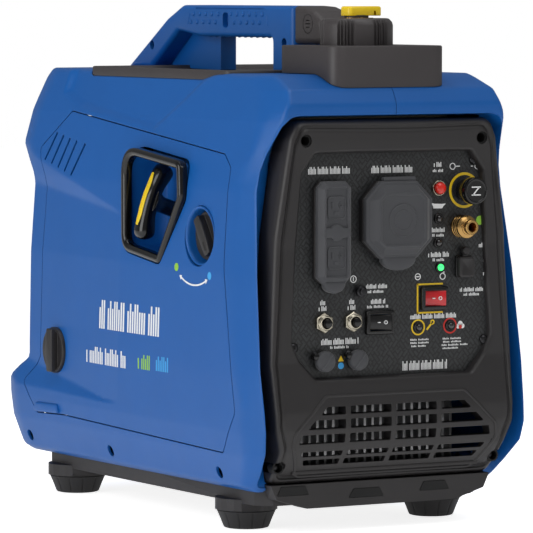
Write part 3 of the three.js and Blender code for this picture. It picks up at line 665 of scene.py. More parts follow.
# Polycarbonate sheet printed in two blacks under a satin varnish.
PANEL = TreadSheet("printed_panel_sheet", "#121314", 0.45, edge=0.2, depth=0.12)
YELLOW = Finish("moulded_yellow_polypropylene", "#f2cf16", 0.38, edge=0.6, spread=0.04)
RED = Finish("moulded_red_acrylic", "#d8281c", 0.22, edge=0.4, coat=0.4)
RED_ROCKER = Finish("moulded_red_polycarbonate", "#c01a22", 0.24, edge=0.5, coat=0.5)
# Polished nylon of the starter's frame and grip: sharp highlights on black.
GLOSS = Finish("polished_black_nylon", "#09090a", 0.15, edge=1.0, grain=1.5, depth=0.01, coat=0.25, shine=0.4)
SWITCH = Finish("moulded_switch_polycarbonate", "#101011", 0.26, edge=0.4, grain=0.4, depth=0.008)
# A near-black darker than the black nylon: painted shade, put in holes, slots and recesses.
DARK = Finish("shaded_black_nylon", "#0c0c0d", 0.7, edge=0.3)
NICKEL = DrawnMetal("nickel_plated_brass", "#c9c2b0", 0.2, edge=0.3, grain=0.33, depth=0.02)
BRASS = DrawnMetal("turned_brass", "#bb955c", 0.24, edge=0.4, grain=0.33, depth=0.03)
STEEL = DrawnMetal("blackened_steel_screws", "#3a3a3c", 0.35, edge=0.3, grain=0.33, depth=0.02)
ALUMINIUM = DrawnMetal("cast_aluminium", "#a8a9ab", 0.5, edge=0.6, grain=0.8, depth=0.08)
PRESSED = DrawnMetal("pressed_steel", "#8a8b8d", 0.36, edge=0.6, grain=0.5, depth=0.04)
TANK = Finish("blow_moulded_polyethylene", "#d6d2c2", 0.5, edge=0.8, grain=1.2, depth=0.05)
ROPE = Finish("braided_polyester_rope", "#252527", 0.85, edge=0.2, grain=0.8, depth=0.3, sheen=0.3)
WHITE_INK = Finish("printed_white_ink", "#e9eaea", 0.5, edge=0.05, depth=0.004, spread=0.02)
YELLOW_INK = Finish("printed_yellow_ink", "#e8c21a", 0.45, edge=0.05, depth=0.004, spread=0.02)
RED_INK = Finish("printed_red_ink", "#c8281e", 0.45, edge=0.05, depth=0.004, spread=0.02)
GREEN_INK = Finish("printed_green_ink", "#8fc53a", 0.45, edge=0.05, depth=0.004, spread=0.02)
SKY_INK = Finish("printed_light_blue_ink", "#3aa0e0", 0.45, edge=0.05, depth=0.004, spread=0.02)
GREEN_LAMP = Finish("lit_green_lens", "#38e070", 0.15, edge=0.2, coat=0.8, glow=1.6)
DARK_LAMP = Finish("unlit_smoked_lens", "#141012", 0.1, edge=0.2, coat=1.0)
FLOOR = StageSheet("pale_painted_floor", "#f6f6f6", 0.85, edge=0.0, grain=3.0, depth=0.02, spread=0.01,
                   glow=0.42)


# ---------------------------------------------------------------- the moulded body


def soft_max(a: Array, b: Array, blend: float) -> Array:
    """The larger of two distances, rounded off where they are within a blend of each other: the
    larger plus the square of what the blend has left, over four times the blend."""
    left = np.maximum(blend - np.abs(a - b), 0)
    return np.maximum(a, b) + left**2 / (4 * blend)


def ease(t: Array) -> Array:
    """A smooth step from 0 to 1: 3 t^2 - 2 t^3."""
    t = np.clip(t, 0, 1)
    return t * t * (3 - 2 * t)


@dataclass(frozen=True)
class Field:
    """An outline's depth worked out on a grid of one millimetre, and read between its points."""

    values: Array
    low: Array

    @staticmethod
    def of(outline: Outline, low: Pair, high: Pair) -> "Field":
        """The field of an outline between two corners."""
        a, b = np.arange(low[0], high[0] + 1), np.arange(low[1], high[1] + 1)
        points = np.stack(np.meshgrid(a, b, indexing="ij"), -1)
        return Field(outline.inside_depth(points), np.array(low, float))

    def at(self, a: Array, b: Array) -> Array:
        """The depth at points: the four neighbours weighted by how near they are."""
        u = np.clip(a - self.low[0], 0, self.values.shape[0] - 1.001)
        v = np.clip(b - self.low[1], 0, self.values.shape[1] - 1.001)
        i, j = u.astype(int), v.astype(int)
        s, t = u - i, v - j
        g = self.values
        near = g[i, j] * (1 - s) + g[i + 1, j] * s
        far = g[i, j + 1] * (1 - s) + g[i + 1, j + 1] * s
        return near * (1 - t) + far * t


@dataclass
class Body:
    """The two shells and the service door, all cut from one moulded form, with the opening for the rear
    cover.
    """

    wall: float = 2.6
    seam: float = 1.0
    side: tuple = (
        (-200, 35), (221, 35), (236, 43), (246, 107), (212, 128), (215, 297), (242, 326), (229, 388),
        (218, 398),
        (-195, 398), (-230, 384), (-237, 372), (-236, 358), (-218, 329), (-211, 297), (-222, 226),
        (-233, 144),
        (-240, 92), (-236, 74), (-218, 55), (-202, 41),
    )
    front: tuple = (
        (118, 35), (127.5, 42), (137.5, 70), (139.5, 90), (139.5, 140), (137, 226), (131, 297), (120, 357),
        (116, 368), (104, 398),
    )
    rim: tuple = (  # (level, half width, y) of the edge between the front corner and the bezel's groove
        (35, 116.5, -196), (41, 120, -202), (55, 123.5, -218), (74, 129, -236), (90, 130.7, -240),
        (108, 131.3, -239),
        (144, 132.4, -233), (226, 129.5, -222), (297, 124, -211), (315, 120.8, -212), (329, 118, -218),
        (357, 111.5, -235), (365, 110, -237), (383, 104, -230), (398, 98, -195),
    )
    crease: tuple = (  # (level, y) of the edge between the front corner and the side
        (35, -188), (49, -198), (73, -216), (114, -216), (188, -192), (231, -183), (303, -185), (327, -204),
        (357, -212), (383, -200), (398, -170),
    )
    door: tuple = (
        (-176, 71), (124, 79), (178, 77), (205, 105), (182, 128), (182, 297), (192, 322), (140, 357),
        (-158, 327),
        (-172, 316), (-175, 233), (-200, 107),
    )
    shoulder: tuple = (  # the recess along the top cover, in (y, z)
        (130, 359.5), (171, 372), (171, 430), (-150, 430), (-118, 398), (-86, 385.6), (-61.4, 367),
        (-40.7, 353),
        (-21.6, 343), (84, 354.3),
    )

    def __post_init__(self) -> None:
        """Works out the fields that every point's depth is read from."""
        self.side_field = Field.of(Outline(np.array(self.side, float), 9.0, 6), (-280, 0), (280, 440))
        self.front_field = Field.of(Outline.mirrored(self.front, 10.0), (-180, 0), (180, 440))
        opening = [(w, z) for z, w, _ in self.rim if z < 340] + [(110, 352), (104, 358.5), (96, 360)]
        self.rim_field = Field.of(Outline.mirrored(opening, 8.0), (-180, 0), (180, 440))
        self.shoulder_field = Field.of(Outline(np.array(self.shoulder, float), 6.0), (-280, 0), (280, 440))

    def set_back(self, y: Array, z: Array) -> Array:
        """How far the side lies inside its plain outline.

        Towards the rear the side sinks between two slanting facets: the depth grows evenly from
        the front, and each facet fades it in evenly between two lines that start at one point.
        Along the top cover it sinks 4 mm within 9 mm of the shoulder's outline.
        """
        upper, lower = np.maximum(y - 15, 0), np.maximum(y - 40, 0)
        top = np.clip((268 + 0.25 * upper - z) / np.maximum(0.14 * upper, 1), 0, 1)
        bottom = np.clip((z - 98 - 0.02 * lower) / np.maximum(0.125 * lower, 1), 0, 1)
        waist = 0.043 * upper * top * bottom
        return waist + 4.2 * ease(self.shoulder_field.at(y, z) / 8)

    def depth(self, points: Array, grooved: bool) -> Array:
        """How far points lie outside the form, negative inside: the rounded largest of its faces' distances.

        Args:
            points: where, in millimetres.
            grooved: the front sinks towards the bezel, as the inside of the wall does.

        Returns:
            The distances.
        """
        x, y, z = points[..., 0], points[..., 1], points[..., 2]
        out = np.abs(x)
        level, half, fore = np.array(self.rim, float).T
        crease_level, crease = np.array(self.crease, float).T
        rim_x, rim_y = np.interp(z, level, half), np.interp(z, level, fore)
        crease_y = np.interp(z, crease_level, crease)
        sunk = self.set_back(y, z)
        sides = -self.front_field.at(out + sunk, z)
        profile = -self.side_field.at(y, z)
        width = np.interp(z, [p[1] for p in self.front], [p[0] for p in self.front])
        rise, run = crease_y - rim_y, np.maximum(width - rim_x, 3)
        corner = ((out - rim_x) * rise - (y - rim_y) * run) / np.hypot(rise, run)
        back = ((out - width + 7) * 24
                + (y - np.interp(z, [107, 128, 297, 326, 398], [246, 214, 215, 242, 226])) * 7) / 25
        groove = np.clip(self.rim_field.at(x, z), 0, 11)
        mouth = (rim_y + 3.9 * groove - y) / 4.03
        whole = soft_max(soft_max(profile, sides, 7.0), soft_max(corner, back, 1.0), 3.0)
        if not grooved:
            return whole
        return soft_max(whole, mouth, 2.2)

    def half(self, depth: float, across: int, around: int, flat_at: float) -> Shape:
        """The left half of the form, inset by a depth.

        Points on a box round the half are drawn in towards an inner box until their depth in the
        form is reached: rings run along the box from the middle to the side, then shrink on it.
        """
        low, high = np.array([-148.0, -254.0, 26.0]), np.array([flat_at, 254.0, 406.0])
        size = high[1:] - low[1:]
        share = np.linspace(0, 2 * size.sum(), around, endpoint=False)
        legs = np.cumsum([0, size[0], size[1], size[0], size[1]])
        box_y = np.interp(share, legs, [low[1], high[1], high[1], low[1], low[1]])
        box_z = np.interp(share, legs, [low[2], low[2], high[2], high[2], low[2]])
        middle = np.array([0.0, 215.0])
        t = np.linspace(0, 1, across)
        walls = np.concatenate([np.linspace(flat_at, -96, across // 5)[:-1],
                                np.linspace(-96, low[0], across // 2)])
        shrink = 1 - 0.985 * t[1:] ** 1.15
        y = np.concatenate([np.repeat(box_y[None], len(walls), 0),
                            middle[0] + shrink[:, None] * (box_y - middle[0])])
        z = np.concatenate([np.repeat(box_z[None], len(walls), 0),
                            middle[1] + shrink[:, None] * (box_z - middle[1])])
        x = np.concatenate([walls, np.full(len(shrink), low[0])])[:, None] + 0 * y
        outer = np.stack([x, y, z], -1)
        inner = np.stack([np.maximum(x, -88.0), np.clip(y, -165, 165), np.clip(z, 105, 330)], -1)
        inner[..., 0] = np.where(x > -88, x, inner[..., 0])
        reach = outer - inner
        length = np.linalg.norm(reach, axis=-1)
        along = np.ones_like(length)
        for _ in range(34):
            out = self.depth(inner + along[..., None] * reach, depth > 0) + depth
            along = np.clip(along - 0.85 * out / length, 0, 1)
        return Shape.lofted(inner + along[..., None] * reach)

    def mouth(self) -> Shape:
        """The opening at the front: straight as far back as the corner's edge, then narrowing."""
        turn = np.linspace(0, 2 * np.pi, 400, endpoint=False)
        level, half, fore = np.array(self.rim, float).T
        shown = [(w, z) for z, w in zip(level, half) if 40 < z < 340]
        wide = Outline.mirrored([*shown, (111, 353), (105, 360), (97, 362)], 8.0).at_angles((0, 210), turn)
        narrow = Outline.mirrored(FrontBezel.outer, 6.0, 8)
        narrow = Outline(narrow.ring(-0.7)).at_angles((0, 210), turn)
        edge = np.interp(wide[:, 1], level, fore) + 0.4
        rings = [Along.Y.place(wide, -300.0), Along.Y.place(wide, edge), Along.Y.place(narrow, -203.0),
                 Along.Y.place(narrow, -168.0)]
        return Shape.lofted(np.stack(rings))

    def tools(self) -> dict[str, Shape]:
        """The closed shapes that the shells are cut by."""
        apron = Outline.mirrored([(75, 20), (105, 29), (111, 44)])
        rear = Outline.mirrored(RearCover.outer, 5.0)
        low, high = cad_box("base_tray")
        tray = Outline.box((0, (low[1] + high[1]) / 2 + 4), (2 * high[0] - 20.5, 412), 10)
        top_low, top_high = cad_box("top_cover")
        top_size = (top_high - top_low)[:2] + 0.8
        door = Outline(np.array(self.door, float), 4.0)
        screws = Outline.disc((0, 0), 5.2, 24)
        return {
            "bezel": self.mouth(),
            "apron": Shape.moulded(apron, Along.Y, [(-0.4, -300), (-0.4, -170)]),
            "rear": Shape.moulded(rear, Along.Y, [(-0.5, 170), (-0.5, 300)]),
            "tray": Shape.moulded(tray, Along.Z, [(-0.4, 0), (-0.4, 39)]),
            "top": Shape.moulded(
                Outline.box(((top_low + top_high) / 2)[:2], top_size, 10), Along.Z, [(0, 360), (0, 460)]
            ),
            "neck": Shape.prism(Outline.disc((0, -169.5), 29), Along.Z, 360, 460),
            "door": Shape.moulded(door, Along.X, [(-self.seam, -200), (-self.seam, -70)]),
            "screws": Shape.joined(
                [Shape.prism(screws.shifted(at), Along.X, -200, -60) for at in self.screw_places]
            ),
        }

    screw_places = ((206, 52.5), (44.5, 52), (-158, 51.5))

    def build(self) -> None:
        """Makes the shells, the door with its vents and openings, and the screws in their wells."""
        outer = self.half(0.0, 90, 460, -0.25)
        hollow = self.half(self.wall, 40, 160, 6.0)
        skin = carve(mesh_object("skin", outer), [hollow])
        spare = {name: bpy.data.objects.new(name, skin.data.copy()) for name in ("door", "right")}
        for other in spare.values():
            bpy.context.scene.collection.objects.link(other)
        right = spare["right"]
        points = np.zeros(len(right.data.vertices) * 3)
        right.data.vertices.foreach_get("co", points)
        right.data.vertices.foreach_set("co", (points.reshape(-1, 3) * [-1, 1, 1]).ravel())
        right.data.flip_normals()
        tools = self.tools()
        shared = [tools[name] for name in ("bezel", "apron", "rear", "tray", "top", "neck")]
        carve(skin, shared + [tools["door"], tools["screws"]])
        carve(right, shared + [tools["screws"].mirrored()])
        piece("left_body_shell", skin, BLUE, replaces=["left_shell"], sharp=32)
        piece("right_body_shell", right, BLUE, replaces=["right_shell"], sharp=32)
        self.build_door(spare["door"])
        self.build_screws()

    def build_door(self, door: bpy.types.Object) -> None:
        """Cuts the door out of the skin: its outline, its openings and its five slanting vents."""
        outline = Outline(np.array(self.door, float), 4.0)
        carve(door, [Shape.prism(outline, Along.X, -200, -70)], Cut.KEEP)
        vent_ends = [((163.4, 337.2), (180.2, 311.3)), ((149.9, 335.1), (165.9, 308.3)),
                     ((136, 332.9), (151.6, 305.3)),
                     ((122, 330.8), (137.9, 302.1)), ((104.5, 328.7), (123.5, 299))]
        vents = []
        for start, end in vent_ends:
            a, b = np.array(start), np.array(end)
            across = np.array([a[1] - b[1], b[0] - a[0]]) / np.linalg.norm(a - b) * 1.5
            slot = Outline(np.array([a - across, b - across, b + across, a + across])[::-1], 0.8)
            vents.append(Shape.prism(slot, Along.X, -200, -100).outward())
        dish = cad_centre("selector_dish")[1:]
        lock = cad_centre("door_lock_knob")[1:]
        openings = [
            Shape.moulded(Starter().outline(), Along.X, [(-0.6, -200), (-0.6, -70)]),
            Shape.prism(Outline.disc(dish, 26.6, 64), Along.X, -200, -70),
            Shape.prism(Outline.disc(lock, 6.4, 32), Along.X, -200, -70),
            Shape.joined(vents),
        ]
        carve(door, openings)
        piece("hinged_side_door", door, BLUE, "service_door", ["service_door"], sharp=32)

    def build_screws(self) -> None:
        """Screws sunk in sleeves along the lower edge of both sides; the sleeves are drawn in a darker blue
        as painted shade in the wells.
        """
        for side, name in ((-1, "left"), (1, "right")):
            sleeves, heads = [], []
            for y, z in self.screw_places:
                face = np.interp(z, [35, 70], [118, 137.5])
                wall = [(5.15, -face + 1.5), (5.15, -face + 14), (3.9, -face + 14), (3.9, -face + 1.5)]
                sleeves.append(lathed_ring(wall, (y, z), Along.X, 32, 0.5))
                heads.append(lathed([(3.7, -face + 12), (3.7, -face + 10), (2.4, -face + 8.8),
                                     (0.4, -face + 8.7)], (y, z), Along.X, 24))
            # The sleeves take the darker blue, painted shade inside the screw wells.
            for label, made, finish in (("screw_sleeves", sleeves, SHADED_BLUE), ("screw_heads", heads, STEEL)):
                shape = Shape.joined(made)
                piece(f"{name}_{label}", shape.mirrored() if side > 0 else shape, finish)


@dataclass
class RearCover:
    """The black cover between the rear bulges, with its louvres and the exhaust outlet's ring."""

    outer = ((99.5, 66), (112.5, 120), (112.5, 297), (94.5, 350))
    levels: tuple = ((66, 236), (107, 243.5), (126, 212), (130, 210.5), (297, 212.5), (303, 216),
                     (326, 239.5), (350, 235))

    def build(self) -> None:
        """A plate whose rings climb in Z, each a rounded slot as wide as the opening at that level."""
        z = np.concatenate([np.linspace(66.4, 130, 26), np.linspace(134, 292, 30),
                            np.linspace(297, 349.6, 24)])
        w = np.interp(z, [p[1] for p in self.outer], [p[0] for p in self.outer])
        level, at = np.array(self.levels, float).T
        y = np.interp(z, level, at)
        section = Outline.box((0, 0), (2, 3.2), 0.9)
        ring = section.ring()
        rings = np.stack([ring[None, :, 0] + np.sign(ring[None, :, 0]) * (w[:, None] - 1),
                          ring[None, :, 1] + y[:, None] - 1.6,
                          np.repeat(z[:, None], len(ring), 1)], -1)
        cover = mesh_object("cover", Shape.lofted(rings))
        centre = (55.0, 250.0)
        slot = Outline.box((0, 0), (96, 7.5), 3.0)
        louvres = [Shape.prism(slot.shifted((-38, 139 + 17 * n)), Along.Y, 190, 260) for n in range(7)]
        carve(cover, [Shape.joined(louvres), Shape.prism(Outline.disc(centre, 21.5, 64), Along.Y, 190, 260)])
        piece("louvred_rear_cover", cover, BLACK, replaces=["rear_cover"])
        blades = []
        for n in range(7):
            blade = Outline(np.array([(-9, -4.6), (-7.5, -5.2), (-0.6, 2.6), (-1.4, 4.0)])[::-1], 0.5)
            path = np.stack([np.linspace(-88, 12, 2), np.full(2, 208.5), np.full(2, 139.0 + 17 * n)], -1)
            blades.append(swept(path, blade.ring(), (0, 0, 1)))
        piece("rear_louvre_blades", Shape.joined(blades), BLACK)
        collar = [(21.3, 203.0), (24.5, 213.4), (24.0, 215.2), (21.8, 215.4), (19.5, 213.0), (18.6, 203.0)]
        piece("exhaust_heat_collar", lathed_ring(collar, centre, Along.Y, 64, 0.5), PRESSED)


# ---------------------------------------------------------------- front bezel and grille


@dataclass
class FrontBezel:
    """The black frame round the control panel, with the cooling grille below it."""

    outer = ((111, 44), (114, 74), (120, 91), (122, 150), (116, 259), (104, 342), (97, 358))
    window = ((78, 136), (93, 153), (100, 168), (91, 311), (78, 329))
    face: tuple = ((44, -211), (52, -216), (60, -224), (75, -235.5), (92, -239.2), (108, -239), (150, -232.5),
                   (247, -230.5), (319, -233.5), (340, -235), (352, -235.5), (358, -233.5))
    ridges: tuple = (  # (millimetres in from the edge, how far it stands proud of the face)
        (0.0, -30.0), (0.1, -4.5), (0.7, -2.2), (2.0, -0.8), (3.6, 0.0), (4.8, 0.1), (5.6, -0.8),
        (6.6, -1.9), (7.6, -2.1),
        (8.6, -1.2), (9.6, -0.4), (11.5, 0.0),
    )
    rows: tuple = ((61, 66), (69, 73.5), (80.5, 88.5), (93, 101), (105, 112))
    bars: tuple = (-49, -3, 43)
    grille: tuple = ((83.5, 57), (97, 80), (95, 88), (66, 115))

    def face_at(self, z: Array) -> Array:
        """The face's place along Y at a level."""
        level, at = np.array(self.face, float).T
        return np.interp(z, level, at)

    def build(self) -> None:
        """Makes the frame as rings between its two outlines, cuts the grille and adds its details.

        Rings lie between where rays from the middle meet the outer and the window outline. Near the
        edge they are set in by millimetres, with a bead and a groove, and then by shares of the rest.
        """
        centre = (0.0, 222.0)
        turn = np.linspace(0, 2 * np.pi, 480, endpoint=False)
        outer = Outline.mirrored(self.outer, 9.0).at_angles(centre, turn)
        inner = Outline.mirrored(self.window, 4.0).at_angles(centre, turn)
        span = np.linalg.norm(inner - outer, axis=1, keepdims=True)
        towards = (inner - outer) / span
        last = self.ridges[-1][0]
        rings: list[Array] = []

        def ring(reach: Array, proud: float) -> None:
            flat = outer + towards * reach
            rings.append(np.stack([flat[:, 0], self.face_at(flat[:, 1]) - proud, flat[:, 1]], -1))

        for reach, proud in self.ridges:
            ring(np.full_like(span, reach), proud)
        for share in np.linspace(0.06, 0.94, 16):
            ring(last + (span - last - 3.4) * share, 0.0)
        for short, proud in ((3.4, 0.0), (2.2, -0.3), (1.0, -1.6), (0.2, -3.4)):
            ring(span - short, proud)
        flat = inner
        rings.append(np.stack([flat[:, 0], np.full(len(flat), -226.4), flat[:, 1]], -1))
        back = outer + towards * span
        rings.append(np.stack([back[:, 0] * 0.985, np.full(len(back), -223.6), back[:, 1]], -1))
        for share in np.linspace(0.95, 0.02, 8):
            flat = outer + towards * (span * share)
            rings.append(np.stack([flat[:, 0], np.maximum(self.face_at(flat[:, 1]) + 4.0, -226.0),
                                   flat[:, 1]], -1))
        flat = outer + towards * 2.6
        rings.append(np.stack([flat[:, 0], np.full(len(flat), -202.0), flat[:, 1]], -1))
        bezel = mesh_object("bezel", Shape.lofted(np.stack(rings), looped=True))
        carve(bezel, [*self.slots(), *self.screw_holes()])
        piece("moulded_front_bezel", bezel, BLACK, replaces=["front_bezel"], sharp=40)
        self.build_details()

    def slots(self) -> list[Shape]:
        """The grille's slots: each row between its bars, clipped to the grille's slanting ends."""
        right = np.array(self.grille, float)
        made = []
        edges = [-200.0, *self.bars, 200.0]
        for low, high in self.rows:
            for left, end in zip(edges[:-1], edges[1:]):
                corners = []
                for z, x0, x1 in ((low, left + 2.4, end - 2.4), (high, left + 2.4, end - 2.4)):
                    limit = np.interp(z, right[:, 1], right[:, 0])
                    corners.append((max(x0, -limit), min(x1, limit), z))
                (a, b, z0), (c, d, z1) = corners
                made.append(Shape.prism(Outline(np.array([(a, z0), (b, z0), (d, z1), (c, z1)]), 1.3, 4),
                                        Along.Y, -260, -190))
        return [Shape.joined(made)]

    def screw_holes(self) -> list[Shape]:
        """Four blind holes whose screws hold the bezel to the body."""
        places = [(88.7, 340.5), (109, 60)]
        return [Shape.joined([
            Shape.prism(Outline.disc((side * x, z), 5.6, 32), Along.Y, -260, -195)
            for x, z in places for side in (-1, 1)
        ])]

    def build_details(self) -> None:
        """The raised line round the grille, the sleeves and screws in the holes, and the chin's bar. The
        sleeves are near-black as painted shade in the holes.
        """
        grille = Outline.mirrored([(89, 51), (103, 79), (101, 91), (70, 121)], 7.0, 8)
        flat = grille.ring()
        dense = np.linspace(0, len(flat), 260, endpoint=False)
        loop = np.vstack([flat, flat[:1]])
        flat = np.stack([np.interp(dense, np.arange(len(loop)), loop[:, k]) for k in (0, 1)], -1)
        path = np.stack([flat[:, 0], self.face_at(flat[:, 1]) + 0.1, flat[:, 1]], -1)
        piece("grille_bead", swept(path, oval(1.5, 0.9, 8), (0, 1, 0), closed=True), BLACK)
        sleeves, heads = [], []
        for x, z, depth in ((88.7, 340.5, 17), (109, 60, 11)):
            for side in (-1, 1):
                fore = float(self.face_at(np.array(z)))
                rings = [(5.55, fore + 2.0), (5.55, fore + depth), (4.2, fore + depth), (4.2, fore + 2.0)]
                sleeves.append(lathed_ring(rings, (side * x, z), Along.Y, 32, 0.5))
                profile = [(4.0, fore + depth - 1), (4.0, fore + depth - 4), (2.6, fore + depth - 5.2),
                           (0.3, fore + depth - 5.4)]
                heads.append(lathed(profile, (side * x, z), Along.Y, 24))
        # The sleeves are drawn in the near-black as painted shade inside the holes.
        piece("bezel_screw_sleeves", Shape.joined(sleeves), DARK)
        piece("bezel_screw_heads", Shape.joined(heads), STEEL)
        x = np.linspace(-94, 94, 48)
        bar = np.stack([x, np.full_like(x, float(self.face_at(np.array(54.5))) - 0.4),
                        np.full_like(x, 54.5)], -1)
        piece("chin_bar", swept(bar, oval(1.9, 1.5, 10, 2.6), (0, 1, 0)), TRAY)


# ---------------------------------------------------------------- light, floor and camera


@dataclass
class Studio:
    """A pale floor, soft light from the left, above and the front, and the camera."""

    azimuth: float = -29.7
    elevation: float = 3.59
    distance: float = 4060.0
    target: tuple = (4.66, -2.55, 217.68)
    lens: float = 301.2
    surroundings: float = 0.24  # how brightly the room lights the object

    def place(self, azimuth: float, elevation: float, distance: float) -> Vector:
        """A point round the target, in metres: azimuth 0 is in front, and positive is to the right."""
        a, e = math.radians(azimuth), math.radians(elevation)
        reach = Vector((math.sin(a) * math.cos(e), -math.cos(a) * math.cos(e), math.sin(e)))
        return (Vector(self.target) + reach * distance) * MM

    def lamp(self, name: str, azimuth: float, elevation: float, size: float, power: float) -> None:
        """A square area light that looks at the target."""
        light = bpy.data.lights.new(name, "AREA")
        light.size, light.energy = size, power
        made = bpy.data.objects.new(name, light)
        bpy.context.scene.collection.objects.link(made)
        made.location = self.place(azimuth, elevation, 1900)
        made.rotation_euler = (Vector(self.target) * MM - made.location).to_track_quat("-Z", "Y").to_euler()

    def build(self) -> None:
        """Makes the floor as one wide sheet, the lights, the pale surroundings and the camera."""
        turn = np.linspace(0, 2 * np.pi, 64, endpoint=False)
        rings = np.stack([np.stack([r * np.cos(turn), r * np.sin(turn), np.full(64, z)], -1)
                          for r, z in ((9000, -6), (9000, -0.4), (8990, -0.3))])
        floor = mesh_object("floor", Shape.lofted(rings))
        finish_mesh(floor, 40)
        floor.data.materials.append(FLOOR.material())
        self.lamp("softbox_left", -80, 14, 1.2, 15)
        self.lamp("softbox_front", 10, 44, 1.0, 6)
        self.lamp("softbox_above", -20, 84, 1.5, 13)
        world = bpy.data.worlds.new("pale_surroundings")
        world.use_nodes = True
        tree = world.node_tree
        tree.nodes.clear()
        seen = add(tree, "ShaderNodeLightPath").outputs["Is Camera Ray"]
        strength = add(tree, "ShaderNodeMapRange",
                       {"Value": seen, "To Min": self.surroundings, "To Max": 1.0}).outputs["Result"]
        pale = add(tree, "ShaderNodeBackground", {"Color": (1, 1, 1, 1), "Strength": strength})
        add(tree, "ShaderNodeOutputWorld", {"Surface": pale.outputs[0]})
        scene = bpy.context.scene
        scene.world = world
        scene.view_settings.view_transform = "Standard"
        lens = bpy.data.cameras.new("camera")
        lens.lens, lens.sensor_width, lens.clip_end = self.lens, 36.0, 50.0
        camera = bpy.data.objects.new("camera", lens)
        scene.collection.objects.link(camera)
        camera.location = self.place(self.azimuth, self.elevation, self.distance)
        view = Vector(self.target) * MM - camera.location
        camera.rotation_euler = view.to_track_quat("-Z", "Y").to_euler()
        scene.camera = camera


# ---------------------------------------------------------------- control panel


PANEL_FACE = -226.0
INK_FACE = PANEL_FACE - 0.22


def frame_of(outline: Outline, width: float, low: float, high: float, along: Along = Along.Y,
             soft: float = 0.0) -> Shape:
    """A band of a width just inside an outline, between two depths, its front edges softened."""
    levels = [(0, low), (0, high - soft), (soft, high), (width - soft, high), (width, high - soft),
              (width, low)]
    if high < low:
        levels = [(0, low), (0, high + soft), (soft, high), (width - soft, high), (width, high + soft),
                  (width, low)]
    return Shape.lofted(np.stack([along.place(outline.ring(inset), depth) for inset, depth in levels]),
                        looped=True)


def tongue(centre: Sequence[float], half_width: float, drop: float) -> Outline:
    """A half ellipse that hangs below a place, for the lift tab of a cover."""
    turn = np.linspace(np.pi, 2 * np.pi, 14)
    under = np.stack([half_width * np.cos(turn), drop * np.sin(turn)], -1)
    return Outline(np.vstack([under, [(half_width, 2.5), (-half_width, 2.5)]]) + np.asarray(centre))


def caption(centre: Sequence[float], width: float, height: float, pitch: float = 1.35) -> list[Outline]:
    """Upright strokes in the place of a line of lettering: heights and gaps follow a slow and a fast sine,
    and a stroke is left out where both are low, as between words."""
    n = np.arange(max(int(width / pitch), 2))
    wave = np.sin(n * 2.1 + width) + 0.6 * np.sin(n * 0.73 + height)
    kept = n[wave > -1.15]
    made = []
    for index in kept:
        tall = height * (1.0 if wave[index] > 0.2 else 0.74)
        place = (centre[0] - width / 2 + (index + 0.5) * pitch, centre[1] - (height - tall) / 2)
        made.append(Outline.box(place, (pitch * 0.6, tall), 0.08))
    return made


def printed(outlines: Sequence[Outline], face: float = INK_FACE) -> Shape:
    """Flat marks on the panel sheet."""
    return Shape.joined([Shape.prism(mark, Along.Y, PANEL_FACE + 0.3, face) for mark in outlines])


